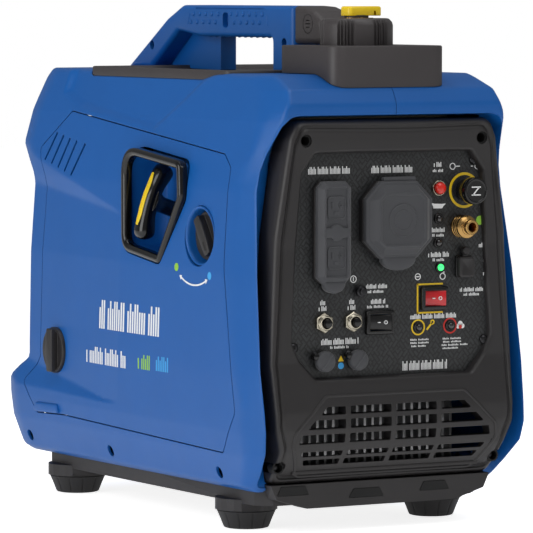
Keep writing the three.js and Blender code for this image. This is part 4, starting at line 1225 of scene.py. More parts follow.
@dataclass
class OutletCover:
    """A soft cover over an outlet, hinged along its top, on the outlet's black flange."""

    name: str
    size: Pair
    corner: float
    flange: float
    levels: tuple  # (inset, depth) from the hollow's ceiling round the rim
    inner: tuple  # width, height and corner of the raised part
    crown: tuple  # (inset, depth) over the raised part, up to the face
    tab: Pair  # half width and drop
    band: Optional[float] = None  # half height of the band between two outlets

    def build(self) -> None:
        """Makes the flange with its slots, and the cover with what is embossed on it."""
        low, high = cad_box(f"{self.name}_receptacle")
        centre = np.array([(low[0] + high[0]) / 2, (low[2] + high[2]) / 2])
        outline = Outline.box(centre, self.size, 2.5, self.corner)
        seat = PANEL_FACE - 0.3
        flange = mesh_object("flange", Shape.moulded(outline, Along.Y, slab(seat - self.flange, seat, 0.8)))
        carve(flange, [Shape.joined(self.slots(centre, seat))])
        piece(f"{self.name}_outlet", flange, BLACK, replaces=[f"{self.name}_receptacle"])
        raised = Outline.box(centre, self.inner[:2], 2.5, self.inner[2])
        rings = [Along.Y.place(form.ring(inset), depth)
                 for form, levels in ((outline, self.levels), (raised, self.crown))
                 for inset, depth in levels]
        cover = [Shape.lofted(np.stack(rings))]
        back = seat - self.flange - 0.5
        foot = centre - [0, self.size[1] / 2 + 0.2]
        cover.append(Shape.moulded(tongue(foot, *self.tab), Along.Y, slab(back - 7.2, back, 2.2, 0.5)))
        front = self.crown[-1][1]
        cover += self.emboss(outline, centre, front)
        shape = Shape.joined(cover)
        name = f"{self.name}_soft_cover"
        piece(name, shape, SOFT, f"{self.name}_cover", [f"{self.name}_cover"], sharp=30)

    def slots(self, centre: Array, seat: float) -> list[Shape]:
        """The openings of the outlets: two upright blades and a round earth for each."""
        face = seat - self.flange
        rows = (-22, 22) if self.band else (0,)
        scale = 1.0 if self.band else 1.7
        made = []
        for rise in rows:
            at = centre + [0, rise]
            marks = [
                Outline.box(at + np.array([-6.3, 2]) * scale, (2.2 * scale, 8 * scale), 0.3),
                Outline.box(at + np.array([6.3, 2]) * scale, (2.2 * scale, 6.6 * scale), 0.3),
                Outline.disc(at + np.array([0, -7]) * scale, 2.6 * scale, 20),
            ]
            made += [Shape.prism(mark, Along.Y, face - 2, seat - 1.2) for mark in marks]
        return made

    def emboss(self, outline: Outline, centre: Array, front: float) -> list[Shape]:
        """What stands on the cover's face."""
        if not self.band:
            knuckle = np.stack([np.linspace(-14.5, 17.5, 9) + centre[0], np.full(9, -234.2),
                                np.full(9, centre[1] + self.size[1] / 2 + 1.4)], -1)
            circle = Outline.disc(centre, 14.5, 72)
            outlet = Outline.disc(centre, 9.0, 48)
            return [
                swept(knuckle, oval(2.3, 2.3, 12), (0, 0, 1)),
                frame_of(circle, 1.1, front + 0.4, front - 0.45, soft=0.25),
                frame_of(outlet, 0.7, front + 0.4, front - 0.25, soft=0.15),
            ]
        made = []
        for rise in (-21.5, 21.5):
            plate = Outline.box(centre + [0, rise], (18, 20), 4.0)
            made.append(frame_of(plate, 1.1, front + 0.4, front - 0.9, soft=0.3))
            for x, z, wide, tall in ((-4.0, 2, 1.6, 6), (4.0, 2, 1.6, 6), (4.0, 2, 4.2, 1.5),
                                     (0, -4.5, 5, 3)):
                mark = Outline.box(centre + [x, rise + z], (wide, tall), 0.4)
                made.append(Shape.moulded(mark, Along.Y, slab(front - 0.8, front + 0.3, 0.3)))
        reach = self.size[0] / 2 - 3.6
        turn = np.linspace(np.radians(38), np.radians(142), 10)
        bump = 7.2 * np.stack([np.cos(turn), np.sin(turn)], -1)
        top = np.vstack([[(reach, self.band)], bump, [(-reach, self.band)]])
        band = Outline(np.vstack([top, -top]) + centre)
        made.append(Shape.moulded(band, Along.Y, slab(front - 2.2, front + 0.5, 0.6)))
        return made


@dataclass
class Rocker:
    """A rocker switch in its frame, with the marks for off and on."""

    name: str
    finish: Finish
    size: Pair

    def build(self) -> None:
        """Makes the frame, the rocker with its two faces, and the marks on it."""
        centre = cad_centre(f"{self.name}_switch_body")[[0, 2]]
        outline = Outline.box(centre, self.size, 2.2)
        levels = [(0, -226.3), (0, -229.2), (0.7, -230.1), (1.6, -230.4), (2.9, -230.4), (3.4, -229.9),
                  (3.6, -224.0), (0.4, -224.0)]
        frame_shape = Shape.lofted(np.stack([Along.Y.place(outline.ring(i), d) for i, d in levels]),
                                   looped=True)
        piece(f"{self.name}_switch_frame", frame_shape, SWITCH, replaces=[f"{self.name}_switch_body"])
        low, high = cad_box(f"{self.name}_rocker")
        half = (high[0] - low[0]) / 2
        middle, rise = (low[[0, 2]] + high[[0, 2]]) / 2, (high[2] - low[2]) / 2
        x = np.linspace(-1, 1, 17)
        tilt = -228.2 - 1.9 * x - 1.1 * np.abs(x) ** 1.5
        front = np.stack([middle[0] + half * x, tilt, np.full_like(x, 0)], -1)
        back = np.stack([middle[0] + half * x[::-1], np.full_like(x, -224.6), np.full_like(x, 0)], -1)
        section = np.vstack([front, back])
        lift = [(-rise, 0.8), (-rise + 0.8, 0.0), (rise - 0.8, 0.0), (rise, 0.8)]
        rings = np.stack([section + [0, sink * 0.5, middle[1] + z] for z, sink in lift])
        made = Shape.lofted(rings)
        piece(f"{self.name}_switch_rocker", made, self.finish, f"{self.name}_rocker",
              [f"{self.name}_rocker"], sharp=50)
        dash = Outline.box(middle + [half * 0.42 - 5.6, 0], (2.6, 0.8), 0.1)
        ring = Outline.disc(middle + [half * 0.42 + 0.6, 0], 1.7, 20)
        at = -229.75
        marks = [Shape.prism(dash, Along.Y, at + 1.6, at + 0.55), frame_of(ring, 0.6, at + 1.6, at - 0.35)]
        piece(f"{self.name}_switch_marks", Shape.joined(marks), WHITE_INK, f"{self.name}_rocker")


@dataclass
class ControlPanel:
    """The printed sheet, and everything that is fixed to it."""

    screws = ((85.5, 321), (-85.5, 321), (96.5, 163), (-96.5, 163))
    lamps = ((49.6, 270.4), (49.2, 249.3), (51.2, 227.7))
    alarms = ((29, 176.1), (61.8, 176.4))

    def build(self) -> None:
        """Builds the sheet's own marks and each fitting in turn."""
        OutletCover(
            "duplex", (33, 88), 5.5, 3.6,
            ((4.5, -236.6), (4.2, -231.2), (0.6, -230.7), (0, -231.2), (0, -235.0), (0.3, -235.8),
             (0.9, -236.3)),
            (25.6, 80, 2.4),
            ((0, -239.7), (0.3, -240.4), (0.9, -240.8), (1.5, -240.7), (2.0, -240.2), (2.6, -238.6),
             (3.0, -238.5)), (10.5, 8.2), 3.6,
        ).build()
        OutletCover(
            "rv", (67, 67), 15.5, 5.1,
            ((10, -238.2), (9, -233.6), (0.8, -232.7), (0, -233.2), (0, -237.0), (0.4, -238.0),
             (1.3, -238.6), (3.2, -238.9)),
            (50, 50, 6.5),
            ((0, -243.6), (0.5, -244.8), (1.5, -245.5), (2.6, -245.7), (3.2, -245.4), (3.8, -244.6),
             (4.4, -244.4)), (17, 10.2),
        ).build()
        Rocker("eco", SWITCH, (28, 21)).build()
        Rocker("engine", RED_ROCKER, (27, 20.5)).build()
        self.build_pushes()
        self.build_metal()
        self.build_usb()
        self.build_caps()
        self.build_lamps()
        self.build_print()

    def build_pushes(self) -> None:
        """The red reset button in its collar, and the choke knob with its stem."""
        reset = cad_centre("reset_button")[[0, 2]]
        collar = [(5.5, -226.2), (7.0, -226.2), (7.0, -228.2), (6.5, -229.0), (5.9, -229.0), (5.5, -228.4)]
        piece("reset_collar", lathed_ring(collar, reset, Along.Y), NICKEL)
        button = [(3.8, -220), (3.8, -229.5), (5.3, -229.6), (5.3, -230.9), (5.0, -231.8), (4.0, -232.8),
                  (2.2, -233.3), (0.2, -233.4)]
        piece("reset_push", lathed(button, reset, Along.Y, 48), RED, "reset_button", ["reset_button"])
        choke = cad_centre("choke_knob")[[0, 2]]
        knob = [
            (4, -206), (4, -226.4), (9.4, -227.2), (9.8, -228.0), (10.4, -236.4), (11.2, -237.2),
            (11.9, -238.2), (11.9, -244.6),
            (11.4, -245.7), (10.3, -246.2), (9.6, -246.1), (9.2, -245.7), (0.2, -245.7),
        ]
        piece("choke_pull_knob", lathed(knob, choke, Along.Y, 72), GLOSS, "choke_knob", ["choke_knob"])
        bars = [np.array([(-4.6, 3.9), (-4.6, 2.9), (4.6, 2.9), (4.6, 3.9)]),
                np.array([(-4.6, -2.9), (-4.6, -3.9), (4.6, -3.9), (4.6, -2.9)]),
                np.array([(-3.6, -3.2), (-2.2, -3.2), (3.6, 3.2), (2.2, 3.2)])]
        marks = [Shape.prism(Outline(bar + choke), Along.Y, -245.5, -245.95) for bar in bars]
        piece("choke_knob_mark", Shape.joined(marks), WHITE_INK, "choke_knob")

    def build_metal(self) -> None:
        """The brass inlet, the two breakers with their hexagon nuts, the earth terminal and the screws."""
        inlet = cad_centre("gas_inlet")[[0, 2]]
        profile = [
            (3.7, -206), (3.7, -245.2), (4.3, -246.3), (5.9, -246.3), (6.5, -245.6), (6.5, -242.4),
            (5.7, -241.8), (5.7, -241.0),
            (6.9, -240.5), (6.9, -239.4), (8.8, -238.7), (9.9, -237.6), (9.9, -234.9), (9.2, -234.4),
            (9.9, -233.9), (9.9, -232.2),
            (9.2, -231.7), (9.9, -231.2), (9.9, -229.2), (9.0, -228.6), (9.9, -228.0), (9.9, -226.3),
            (6.9, -226.3), (6.9, -206),
        ]
        piece("gas_hose_inlet", lathed_ring(profile, inlet, Along.Y, 72), BRASS, replaces=["gas_inlet"],
              sharp=30)
        for name in ("breaker_20", "breaker_30"):
            at = cad_centre(name)[[0, 2]]
            nut = Outline.disc(at, 9.0, 6)
            hexagon = Shape.lofted(np.stack([Along.Y.place(nut.ring(i), d) for i, d in
                                             ((0, -226.3), (0, -229.6), (0.7, -230.3), (2.4, -230.3),
                                                     (2.4, -226.3))]), looped=True)
            thread = [(4.3, -208)] + [(r, d) for step in range(4)
                                      for r, d in ((6.5, -230.3 - 0.8 * step), (6.0, -230.7 - 0.8 * step))]
            thread += [(5.8, -233.4), (5.0, -233.4), (4.6, -232.8), (4.3, -232.0)]
            thread.insert(1, (6.5, -226.4))
            thread.insert(1, (6.0, -208))
            shape = Shape.joined([hexagon, lathed_ring(thread, at, Along.Y, 48)])
            piece(f"{name}_nut", shape, NICKEL, replaces=[name], sharp=25)
            push = [(3.8, -222.4), (3.8, -236.2), (3.5, -236.9), (2.8, -237.2), (0.2, -237.3)]
            piece(f"{name}_push", lathed(push, at, Along.Y, 40), GLOSS, f"{name}_button",
                  [f"{name}_button"])
        earth = cad_centre("ground_terminal")[[0, 2]]
        stud = [(3.0, -214.5), (3.0, -226.2), (5.4, -226.4), (5.4, -227.2), (4.6, -227.4), (4.6, -229.0),
                (5.0, -229.2), (5.0, -231.8),
                (4.4, -232.4), (3.4, -232.6), (3.4, -234.4), (2.6, -235.2), (0.2, -235.4)]
        piece("earth_terminal", lathed(stud, earth, Along.Y, 40), STEEL, replaces=["ground_terminal"],
              sharp=25)
        heads = []
        for x, z in self.screws:
            heads.append(lathed([(4.4, -225.6), (4.4, -226.8), (3.9, -227.8), (2.6, -228.5),
                                 (0.2, -228.7)], (x, z), Along.Y, 32))
        # Near-black crosses laid on the heads: painted shade in the cross recesses.
        crosses = [
            Shape.prism(Outline.box((x, z), size, 0.1), Along.Y, -228.55, -228.85).turned((0, 1, 0), 35,
                    (x, 0, z))
            for x, z in self.screws for size in ((4.4, 0.9), (0.9, 4.4))
        ]
        piece("panel_screw_heads", Shape.joined(heads), STEEL)
        piece("panel_screw_cross_shade", Shape.joined(crosses), DARK)

    def build_usb(self) -> None:
        """The data and charging socket: its frame, and the rounded cover that hangs on a strap."""
        low, high = cad_box("usb_socket")
        at = np.array([(low[0] + high[0]) / 2, (low[2] + high[2]) / 2])
        frame_shape = frame_of(Outline.box(at, (16, 20), 3), 2.6, -224.5, -228.7, soft=0.5)
        floor = Shape.prism(Outline.box(at, (12, 16), 1), Along.Y, -208, -225.4)
        tongue_shape = Shape.prism(Outline.box(at, (8, 3), 0.3), Along.Y, -225.2, -228.0)
        piece("usb_port", Shape.joined([frame_shape, floor, tongue_shape]), SWITCH,
              replaces=["usb_socket"])
        lid = Outline.box(at - [0, 0.4], (16, 18.6), 3.4)
        shape = [
            Shape.moulded(lid, Along.Y,
                          [(2.6, -231.6), (2.4, -229.4), (0.2, -229.2), (0, -229.7), (0, -232.6),
                           (0.6, -233.8), (1.7, -234.3),
                                         (2.8, -234.3), (3.2, -234.0)]),
            Shape.moulded(Outline.box(at + [0, 11.4], (5, 6), 0.8), Along.Y, slab(-231.6, -229.4, 0.7)),
            lathed([(3.6, -229.2), (3.6, -232.4), (3.0, -233.2), (0.2, -233.4)], at + [0, 14.0], Along.Y, 28),
        ]
        piece("usb_soft_cover", Shape.joined(shape), BLACK, "usb_cover", ["usb_cover"])

    def build_caps(self) -> None:
        """The two sockets for a second generator, each with a round cap on a strap and its pin."""
        for side in ("left", "right"):
            at = cad_centre(f"parallel_socket_{side}")[[0, 2]]
            socket = [(2.6, -208), (7.8, -208), (7.8, -228.0), (7.4, -228.4), (3.4, -228.4), (2.6, -227.6)]
            piece(f"parallel_jack_{side}", lathed_ring(socket, at, Along.Y, 48), BLACK,
                  replaces=[f"parallel_socket_{side}"])
            cap = lathed([(7.6, -228.9), (8.8, -229.1), (9.0, -229.8), (9.0, -233.4), (8.5, -234.6),
                          (7.2, -235.4), (4.6, -235.8), (0.2, -235.9)], at, Along.Y, 64)
            ridge = Shape.moulded(Outline.box(at, (1.5, 16.4), 0.5), Along.Y,
                                  slab(-236.3, -234.0, 0.5)).turned((0, 1, 0), 40, (at[0], 0, at[1]))
            strap = Shape.moulded(Outline(np.array([(-12.2, 5.5), (-8.8, 1.2), (-6, 1), (-5, 6),
                    (-9.2, 8.4)]) + at, 0.8), Along.Y, slab(-231.4, -229.0, 0.5))
            name = f"parallel_cap_{side}"
            piece(f"parallel_round_{name[9:]}", Shape.joined([cap, ridge, strap]), SOFT, name, [name])
            pin = [(3.2, -228.9), (3.2, -232.8), (2.6, -233.9), (1.6, -234.3), (0.2, -234.4)]
            piece(f"parallel_strap_pin_{side}", lathed(pin, at + [-9.6, 4.4], Along.Y, 28), GLOSS, name)

    def build_lamps(self) -> None:
        """Indicator lamps: a black collar and a domed lens, the lowest of the three lit green."""
        every = self.lamps + self.alarms
        collar = [(3.0, -226.1), (4.7, -226.1), (4.7, -227.3), (4.2, -227.9), (3.4, -227.9), (3.0, -227.4)]
        piece("lamp_collars", Shape.joined([lathed_ring(collar, at, Along.Y, 36) for at in every]), SWITCH)
        lens = [(3.05, -226.0), (3.05, -227.6), (2.8, -228.6), (2.0, -229.3), (1.0, -229.6), (0.1, -229.65)]
        dark = [lathed(lens, at, Along.Y, 28) for at in every if at != self.lamps[2]]
        piece("unlit_lamps", Shape.joined(dark), DARK_LAMP)
        piece("lit_lamp", lathed(lens, self.lamps[2], Along.Y, 28), GREEN_LAMP)

    def build_print(self) -> None:
        """The marks in ink: rings, brackets, signs, and strokes where the lettering is."""
        choke = cad_centre("choke_knob")[[0, 2]]
        yellow = [frame_of(Outline.disc(choke, 15.6, 72), 2.3, PANEL_FACE + 0.3, INK_FACE),
                  frame_of(Outline.disc(self.alarms[0], 7.0, 48), 1.3, PANEL_FACE + 0.3, INK_FACE)]
        bracket = [((28.4, 201), (1.5, 26)), ((41, 213.4), (26.4, 1.5)), ((41, 188.6), (26.4, 1.5))]
        wrench = [Shape.prism(Outline.box((40.5, 176.6), (1.7, 8), 0.5), Along.Y, PANEL_FACE + 0.3, INK_FACE),
                  frame_of(Outline.disc((40.5, 181.4), 2.4, 6, 0), 1.1, PANEL_FACE + 0.3, INK_FACE)]
        yellow += [shape.turned((0, 1, 0), 42, (40.5, 0, 176.6)) for shape in wrench]
        triangle = Outline(np.array([(-51.9, 149.6), (-46.1, 149.6), (-49, 154.8)]), 0.5)
        yellow.append(printed([Outline.box(at, size, 0.1) for at, size in bracket] + [triangle]))
        piece("yellow_panel_marks", Shape.joined(yellow), YELLOW_INK)
        red = [frame_of(Outline.disc(self.alarms[1], 7.0, 48), 1.3, PANEL_FACE + 0.3, INK_FACE),
               printed([Outline.disc((72.3, 175.0), 1.7, 16)], INK_FACE - 0.05)]
        piece("red_panel_marks", Shape.joined(red), RED_INK)
        piece("green_panel_mark", printed([Outline.disc((92.3, 267.8), 4.0, 32)]), GREEN_INK)
        piece("blue_panel_mark", printed([Outline.disc((-49, 145.8), 2.9, 28)]), SKY_INK)
        cloud = [Outline.disc((72.3 + x, 176.4 + z), r, 20)
                 for x, z, r in ((-2.3, -0.8, 2.1), (2.3, -0.8, 2.1), (0, 1.4, 2.4))]
        words = [  # (across, up, width, height) of each line of lettering
            (-60.5, 314.6, 43, 6.4), (2.6, 314.4, 43, 6.4), (49, 317.5, 9, 4.2), (49, 312.2, 11, 2.6),
            (49.6, 260.5, 14, 4.0),
            (49.6, 255.8, 13, 2.4), (50, 239, 22, 4.4), (50, 234.4, 13, 2.6), (96, 246, 10, 4),
            (98.5, 233, 6, 3.6), (98.5, 221, 6, 3.6),
            (-14, 213.4, 23, 4.0), (-14, 208.8, 17, 2.6), (84, 207.4, 25, 3.6), (84, 203.2, 17, 2.6),
            (-12, 200.2, 17, 4.2),
            (-12, 195.6, 22, 2.4), (-67, 201, 6, 4.6), (-67, 195.8, 9, 4.2), (-38, 201, 6, 4.6),
            (-38, 195.8, 9, 4.2),
            (44, 186.9 - 1.4, 49, 4.4), (-50, 167.0, 38, 5.4), (-50, 162, 20, 2.4), (31, 165.4, 20, 1.6),
            (31, 162.6, 20, 1.6),
            (30, 159.8, 16, 1.6), (64, 165.2, 20, 1.6), (64, 162.4, 19, 1.6), (67, 159.6, 28, 1.6),
            (63, 156.8, 18, 1.6), (36, 143, 46, 8.2),
        ]
        strokes = [stroke for x, z, width, height in words for stroke in caption((x, z), width, height)]
        rings = [frame_of(Outline.disc(at, r, 28), 0.7, PANEL_FACE + 0.3, INK_FACE) for at, r in (
            ((64, 315.6), 3.0), ((89.6, 315.4), 3.0), ((-36.6, 220.2), 3.2), ((28.6, 220.2), 3.0),
            ((54, 219.8), 3.0))]
        signs = [Outline.box(at, size, 0.1) for at, size in (
            ((69.6, 315.6), (4, 0.8)), ((84, 315.4), (2.4, 0.8)), ((28.6, 220.2), (3.6, 0.8)),
            ((54, 223.4), (4, 0.8)), ((-36.6, 220.2), (0.8, 3.4)))]
        oil = Outline(np.array([(44.4, 279.2), (53.4, 279.2), (54.6, 281.2), (57.4, 283.4), (53.0, 283.0),
                                (45.2, 283.4), (41.4, 284.4), (44, 281.4)]), 0.4)
        piece("white_panel_marks", Shape.joined([printed(strokes + signs + cloud + [oil]), *rings]),
              WHITE_INK)
# ---------------------------------------------------------------- carrying handle and top


@dataclass
class Handle:
    """The carrying handle: two blue halves, dimpled where the hand holds them, and a dark end cap."""

    top: float = 455.0
    outline = ((-91, 394.6), (-53, 394.6), (-53, 426.5), (84, 426.5), (124, 431.5), (176, 396.5),
               (223, 396.5), (145, 442.5), (115, 455), (-91, 455))
    corners = (0.5, 0.5, 5, 8, 8, 0.5, 1.0, 12, 12, 2)
    web = ((76, 395), (174, 396.5), (126, 434), (76, 434))
    cap = ((-91.4, 421.5), (-91.4, 455), (-109, 454.2), (-124, 450.6), (-137, 443.6), (-142.5, 434),
           (-143, 421.5))
    tilt: float = 0.062  # how the rows of dimples climb towards the rear

    def build(self) -> None:
        """Makes both halves, cuts the slot and the screw holes, and adds the grip's details."""
        plan = Outline(np.array(self.outline, float), self.corners, 6)
        left = mesh_object("left_half", Shape.moulded(plan, Along.X, slab(-19, -0.2, 4.5, 0.2, 6)))
        oval_slot = Outline.box((31.4, 441.6), (11, 14), 5.0)
        holes = [Shape.prism(Outline.disc(at, 4.3, 28), Along.X, -40, -9)
                 for at in ((173, 417.5), (-75.5, 421.9))]
        groove = Outline.box((24, 452.1), (128, 0.9), 0.3)
        carve(left, [Shape.prism(oval_slot, Along.X, -40, -13.5), *holes,
                     Shape.prism(groove, Along.X, -40, -17.6)])
        piece("handle_left_shell", left, BLUE, replaces=["handle_left_half"], sharp=35)
        right = [Shape.moulded(plan, Along.X, slab(0.2, 19, 0.2, 4.5, 6)),
                 Shape.moulded(Outline(np.array(self.web, float), 1.0), Along.X, slab(1.0, 17.5, 0, 1.0))]
        piece("handle_right_shell", Shape.joined(right), BLUE, replaces=["handle_right_half"],
              sharp=35)
        self.build_dimples()
        self.build_cap()
        heads = [lathed([(3.9, -9.4), (3.9, -11.4), (2.6, -12.6), (0.2, -12.8)], at, Along.X, 24)
                 for at in ((173, 417.5), (-75.5, 421.9))]
        piece("handle_screw_heads", Shape.joined(heads), STEEL)

    def build_dimples(self) -> None:
        """Two rows of low round bumps on both sides of the grip, one under it, and the frame round them."""
        across = np.linspace(92, -36, 12)
        bumps = []
        for rise, shift in ((447.0, 0.0), (439.6, 5.0)):
            for y in across + shift:
                if abs(y - 31.4) > 8.5:
                    bumps.append(dome((y, rise), 2.3, 1.4, Along.X, 0.0, 12))
        side = Shape.joined(bumps)
        right = Shape(side.points + [18.9, 0, 0], side.quads, side.ends)
        left = Shape(side.points * [-1, 1, 1] - [18.9, 0, 0], side.quads, side.ends)
        under = [dome((x, y), 1.9, -1.0, Along.Z, 426.8, 12) for y in np.linspace(70, -40, 11)
                 for x in (-13.5, -7.5, 7.5, 13.5)]
        piece("handle_grip_bumps", Shape.joined([left, right, *under]), BLUE)
        bars = [swept(np.array([(x, y0, z0), (x, y1, z1)], float), oval(0.9, 0.7, 8), (1, 0, 0))
                for x in (-18.9, 18.9) for y0, z0, y1,
                z1 in ((-44, 446.5, -45.5, 437), (99.5, 447.5, 103, 437.5))]
        piece("handle_grip_end_bars", Shape.joined(bars), BLUE)

    def build_cap(self) -> None:
        """The end cap, hollowed round the fuel cap, with a plain round badge."""
        plan = Outline(np.array(self.cap, float), (0.5, 2, 7, 9, 9, 9, 0.5), 7)
        cap = mesh_object("end_cap", Shape.moulded(plan, Along.X, slab(-19, 19, 6.0, 6.0, 8)))
        neck = Shape.prism(Outline.disc(FuelFiller.axis, 33.6, 96), Along.Z, 380, 480)
        carve(cap, [neck])
        piece("handle_end_cap_cover", cap, TOP, replaces=["handle_end_cap"], sharp=35)
        badge = Outline.disc((-117.5, 439.2), 8.6, 48)
        rings = [frame_of(badge, 0.6, side * 18.6, side * 19.0, Along.X) for side in (-1, 1)]
        bars = [Shape.moulded(Outline.box((-117.5, 439.2 + z), (wide, 0.8), 0.2), Along.X,
                              sorted([(0, side * 18.6), (0, side * 19.0)], key=lambda level: level[1]))
                for side in (-1, 1) for z, wide in ((3, 6), (0, 9), (-3, 6))]
        piece("handle_cap_badge", Shape.joined(rings + bars), BLACK)


@dataclass
class TopCover:
    """The dark tray on the top of the body, between the shoulders."""

    def build(self) -> None:
        """Makes the tray with its raised rim, and four low ribs along it."""
        low, high = cad_box("top_cover")
        centre, size = ((low + high) / 2)[:2], (high - low)[:2]
        plan = Outline.box(centre, size, 10)
        levels = [(0.2, 388), (0, 388.6), (0, 397.6), (0.5, 398.6), (1.4, 399.0), (3.6, 399.0),
                  (4.6, 398.4), (6.2, 395.4), (8, 394.9)]
        piece("top_tray", Shape.moulded(plan, Along.Z, levels), TOP, replaces=["top_cover"],
              sharp=35)
        ribs = [Shape.moulded(Outline.box((x, 42), (1.6, 150), 0.6), Along.Z, slab(394.0, 395.2, 0, 0.5))
                for x in (-70, -46, 46, 70)]
        piece("top_tray_ribs", Shape.joined(ribs), TOP)


@dataclass
class FuelFiller:
    """The filler surround, the fuel cap with its ribs, and the yellow vent lever."""

    axis = (0.0, -169.5)
    lobes: int = 6

    def build(self) -> None:
        """Makes the surround as a prism cut to the body's own form, then the cap and the lever."""
        low, high = cad_box("filler_surround")
        plan = Outline.box(((low + high) / 2)[:2], (high - low)[:2], 13)
        surround = mesh_object("surround",
                               Shape.moulded(plan, Along.Z,
                                       [(0, 366), (0, 419.6), (0.4, 420.6), (1.3, 421.0)]))
        well = Shape.prism(Outline.disc(self.axis, 35, 96), Along.Z, 340, 460)
        form = Body().half(-0.5, 60, 220, 0.6)
        other = form.mirrored().outward()
        carve(surround, [form.outward()])
        carve(surround, [other])
        carve(surround, [well])
        piece("filler_surround_cover", surround, TOP, replaces=["filler_surround"],
              sharp=35)
        piece("filler_sealing_ring",
              lathed_ring([(25.4, 403), (34.4, 403), (34.4, 405), (25.4, 405)], self.axis, Along.Z, 72),
              BLACK)
        self.build_cap()
        self.build_lever()

    def ribs(self, turn: Array, row: Array) -> Array:
        """What is added to the cap's radius: a broad lobe on each sixth, and a pair of narrow ridges between.

        Within a sixth, from -1/2 to 1/2, the lobe is flat to 0.27 and falls off within 0.03, and a ridge
        stands at 0.37 and 0.45, each 0.02 wide. The rows at the cap's top and inside stay round.
        """
        share = np.abs((turn * self.lobes / (2 * np.pi) + 0.3) % 1.0 - 0.5)
        lobe = 2.4 * (1 - ease((share - 0.26) / 0.035))
        ridge = 2.3 * (np.exp(-(((share - 0.36) / 0.018) ** 2)) + np.exp(-(((share - 0.455) / 0.018) ** 2)))
        ribbed = (row >= 2) & (row <= 7)
        fade = np.where(row == 7, 0.75, 1.0)
        return np.where(ribbed, (lobe + ridge) * fade, 0)

    def build_cap(self) -> None:
        """The cap: a cup whose skirt goes down round the neck, with a flat top and a seat for the lever."""
        profile = [
            (28.0, 418.0), (28.0, 403.4), (29.5, 403.0), (29.5, 404.2), (29.5, 414), (29.5, 430),
            (29.5, 438.4), (29.3, 441.2), (29.6, 442.8),
            (28.4, 444.0), (26.6, 444.5), (13.4, 444.5), (12.2, 444.2), (0.4, 444.2),
        ]
        cap = lathed(profile, self.axis, Along.Z, 288, self.ribs)
        piece("ribbed_fuel_cap", cap, TOP, "fuel_cap", ["fuel_cap"], sharp=35)

    def build_lever(self) -> None:
        """The lever: a flat yellow finger with a notch near its tip, on a round black neck."""
        x, y = self.axis
        neck = [(10.6, 444.3), (10.6, 446.9), (9.6, 447.2), (0.2, 447.2)]
        piece("vent_neck", lathed(neck, self.axis, Along.Z, 48), BLACK, "fuel_cap")
        ring = [(10.8, 444.4), (14.6, 444.4), (14.6, 444.9), (10.8, 444.9)]
        piece("vent_washer", lathed_ring(ring, self.axis, Along.Z, 64), BRASS, "fuel_cap")
        body = Outline(np.array([(-12.5, -6), (-9.5, -8.6), (4, -9), (22, -7), (22, 7), (4, 9),
                                 (-9.5, 8.6), (-12.5, 6)]) + [x, y], 4.0)
        made = mesh_object("lever", Shape.moulded(body, Along.Z, slab(446.6, 454.9, 0.6, 2.0)))
        notch = Shape.prism(Outline.box((x + 14.2, 448), (2.2, 5.6), 0.6), Along.Y, y - 20, y + 20)
        carve(made, [notch])
        piece("yellow_vent_lever", made, YELLOW, "vent_lever", ["vent_lever"], sharp=35)
# ---------------------------------------------------------------- what is on the side


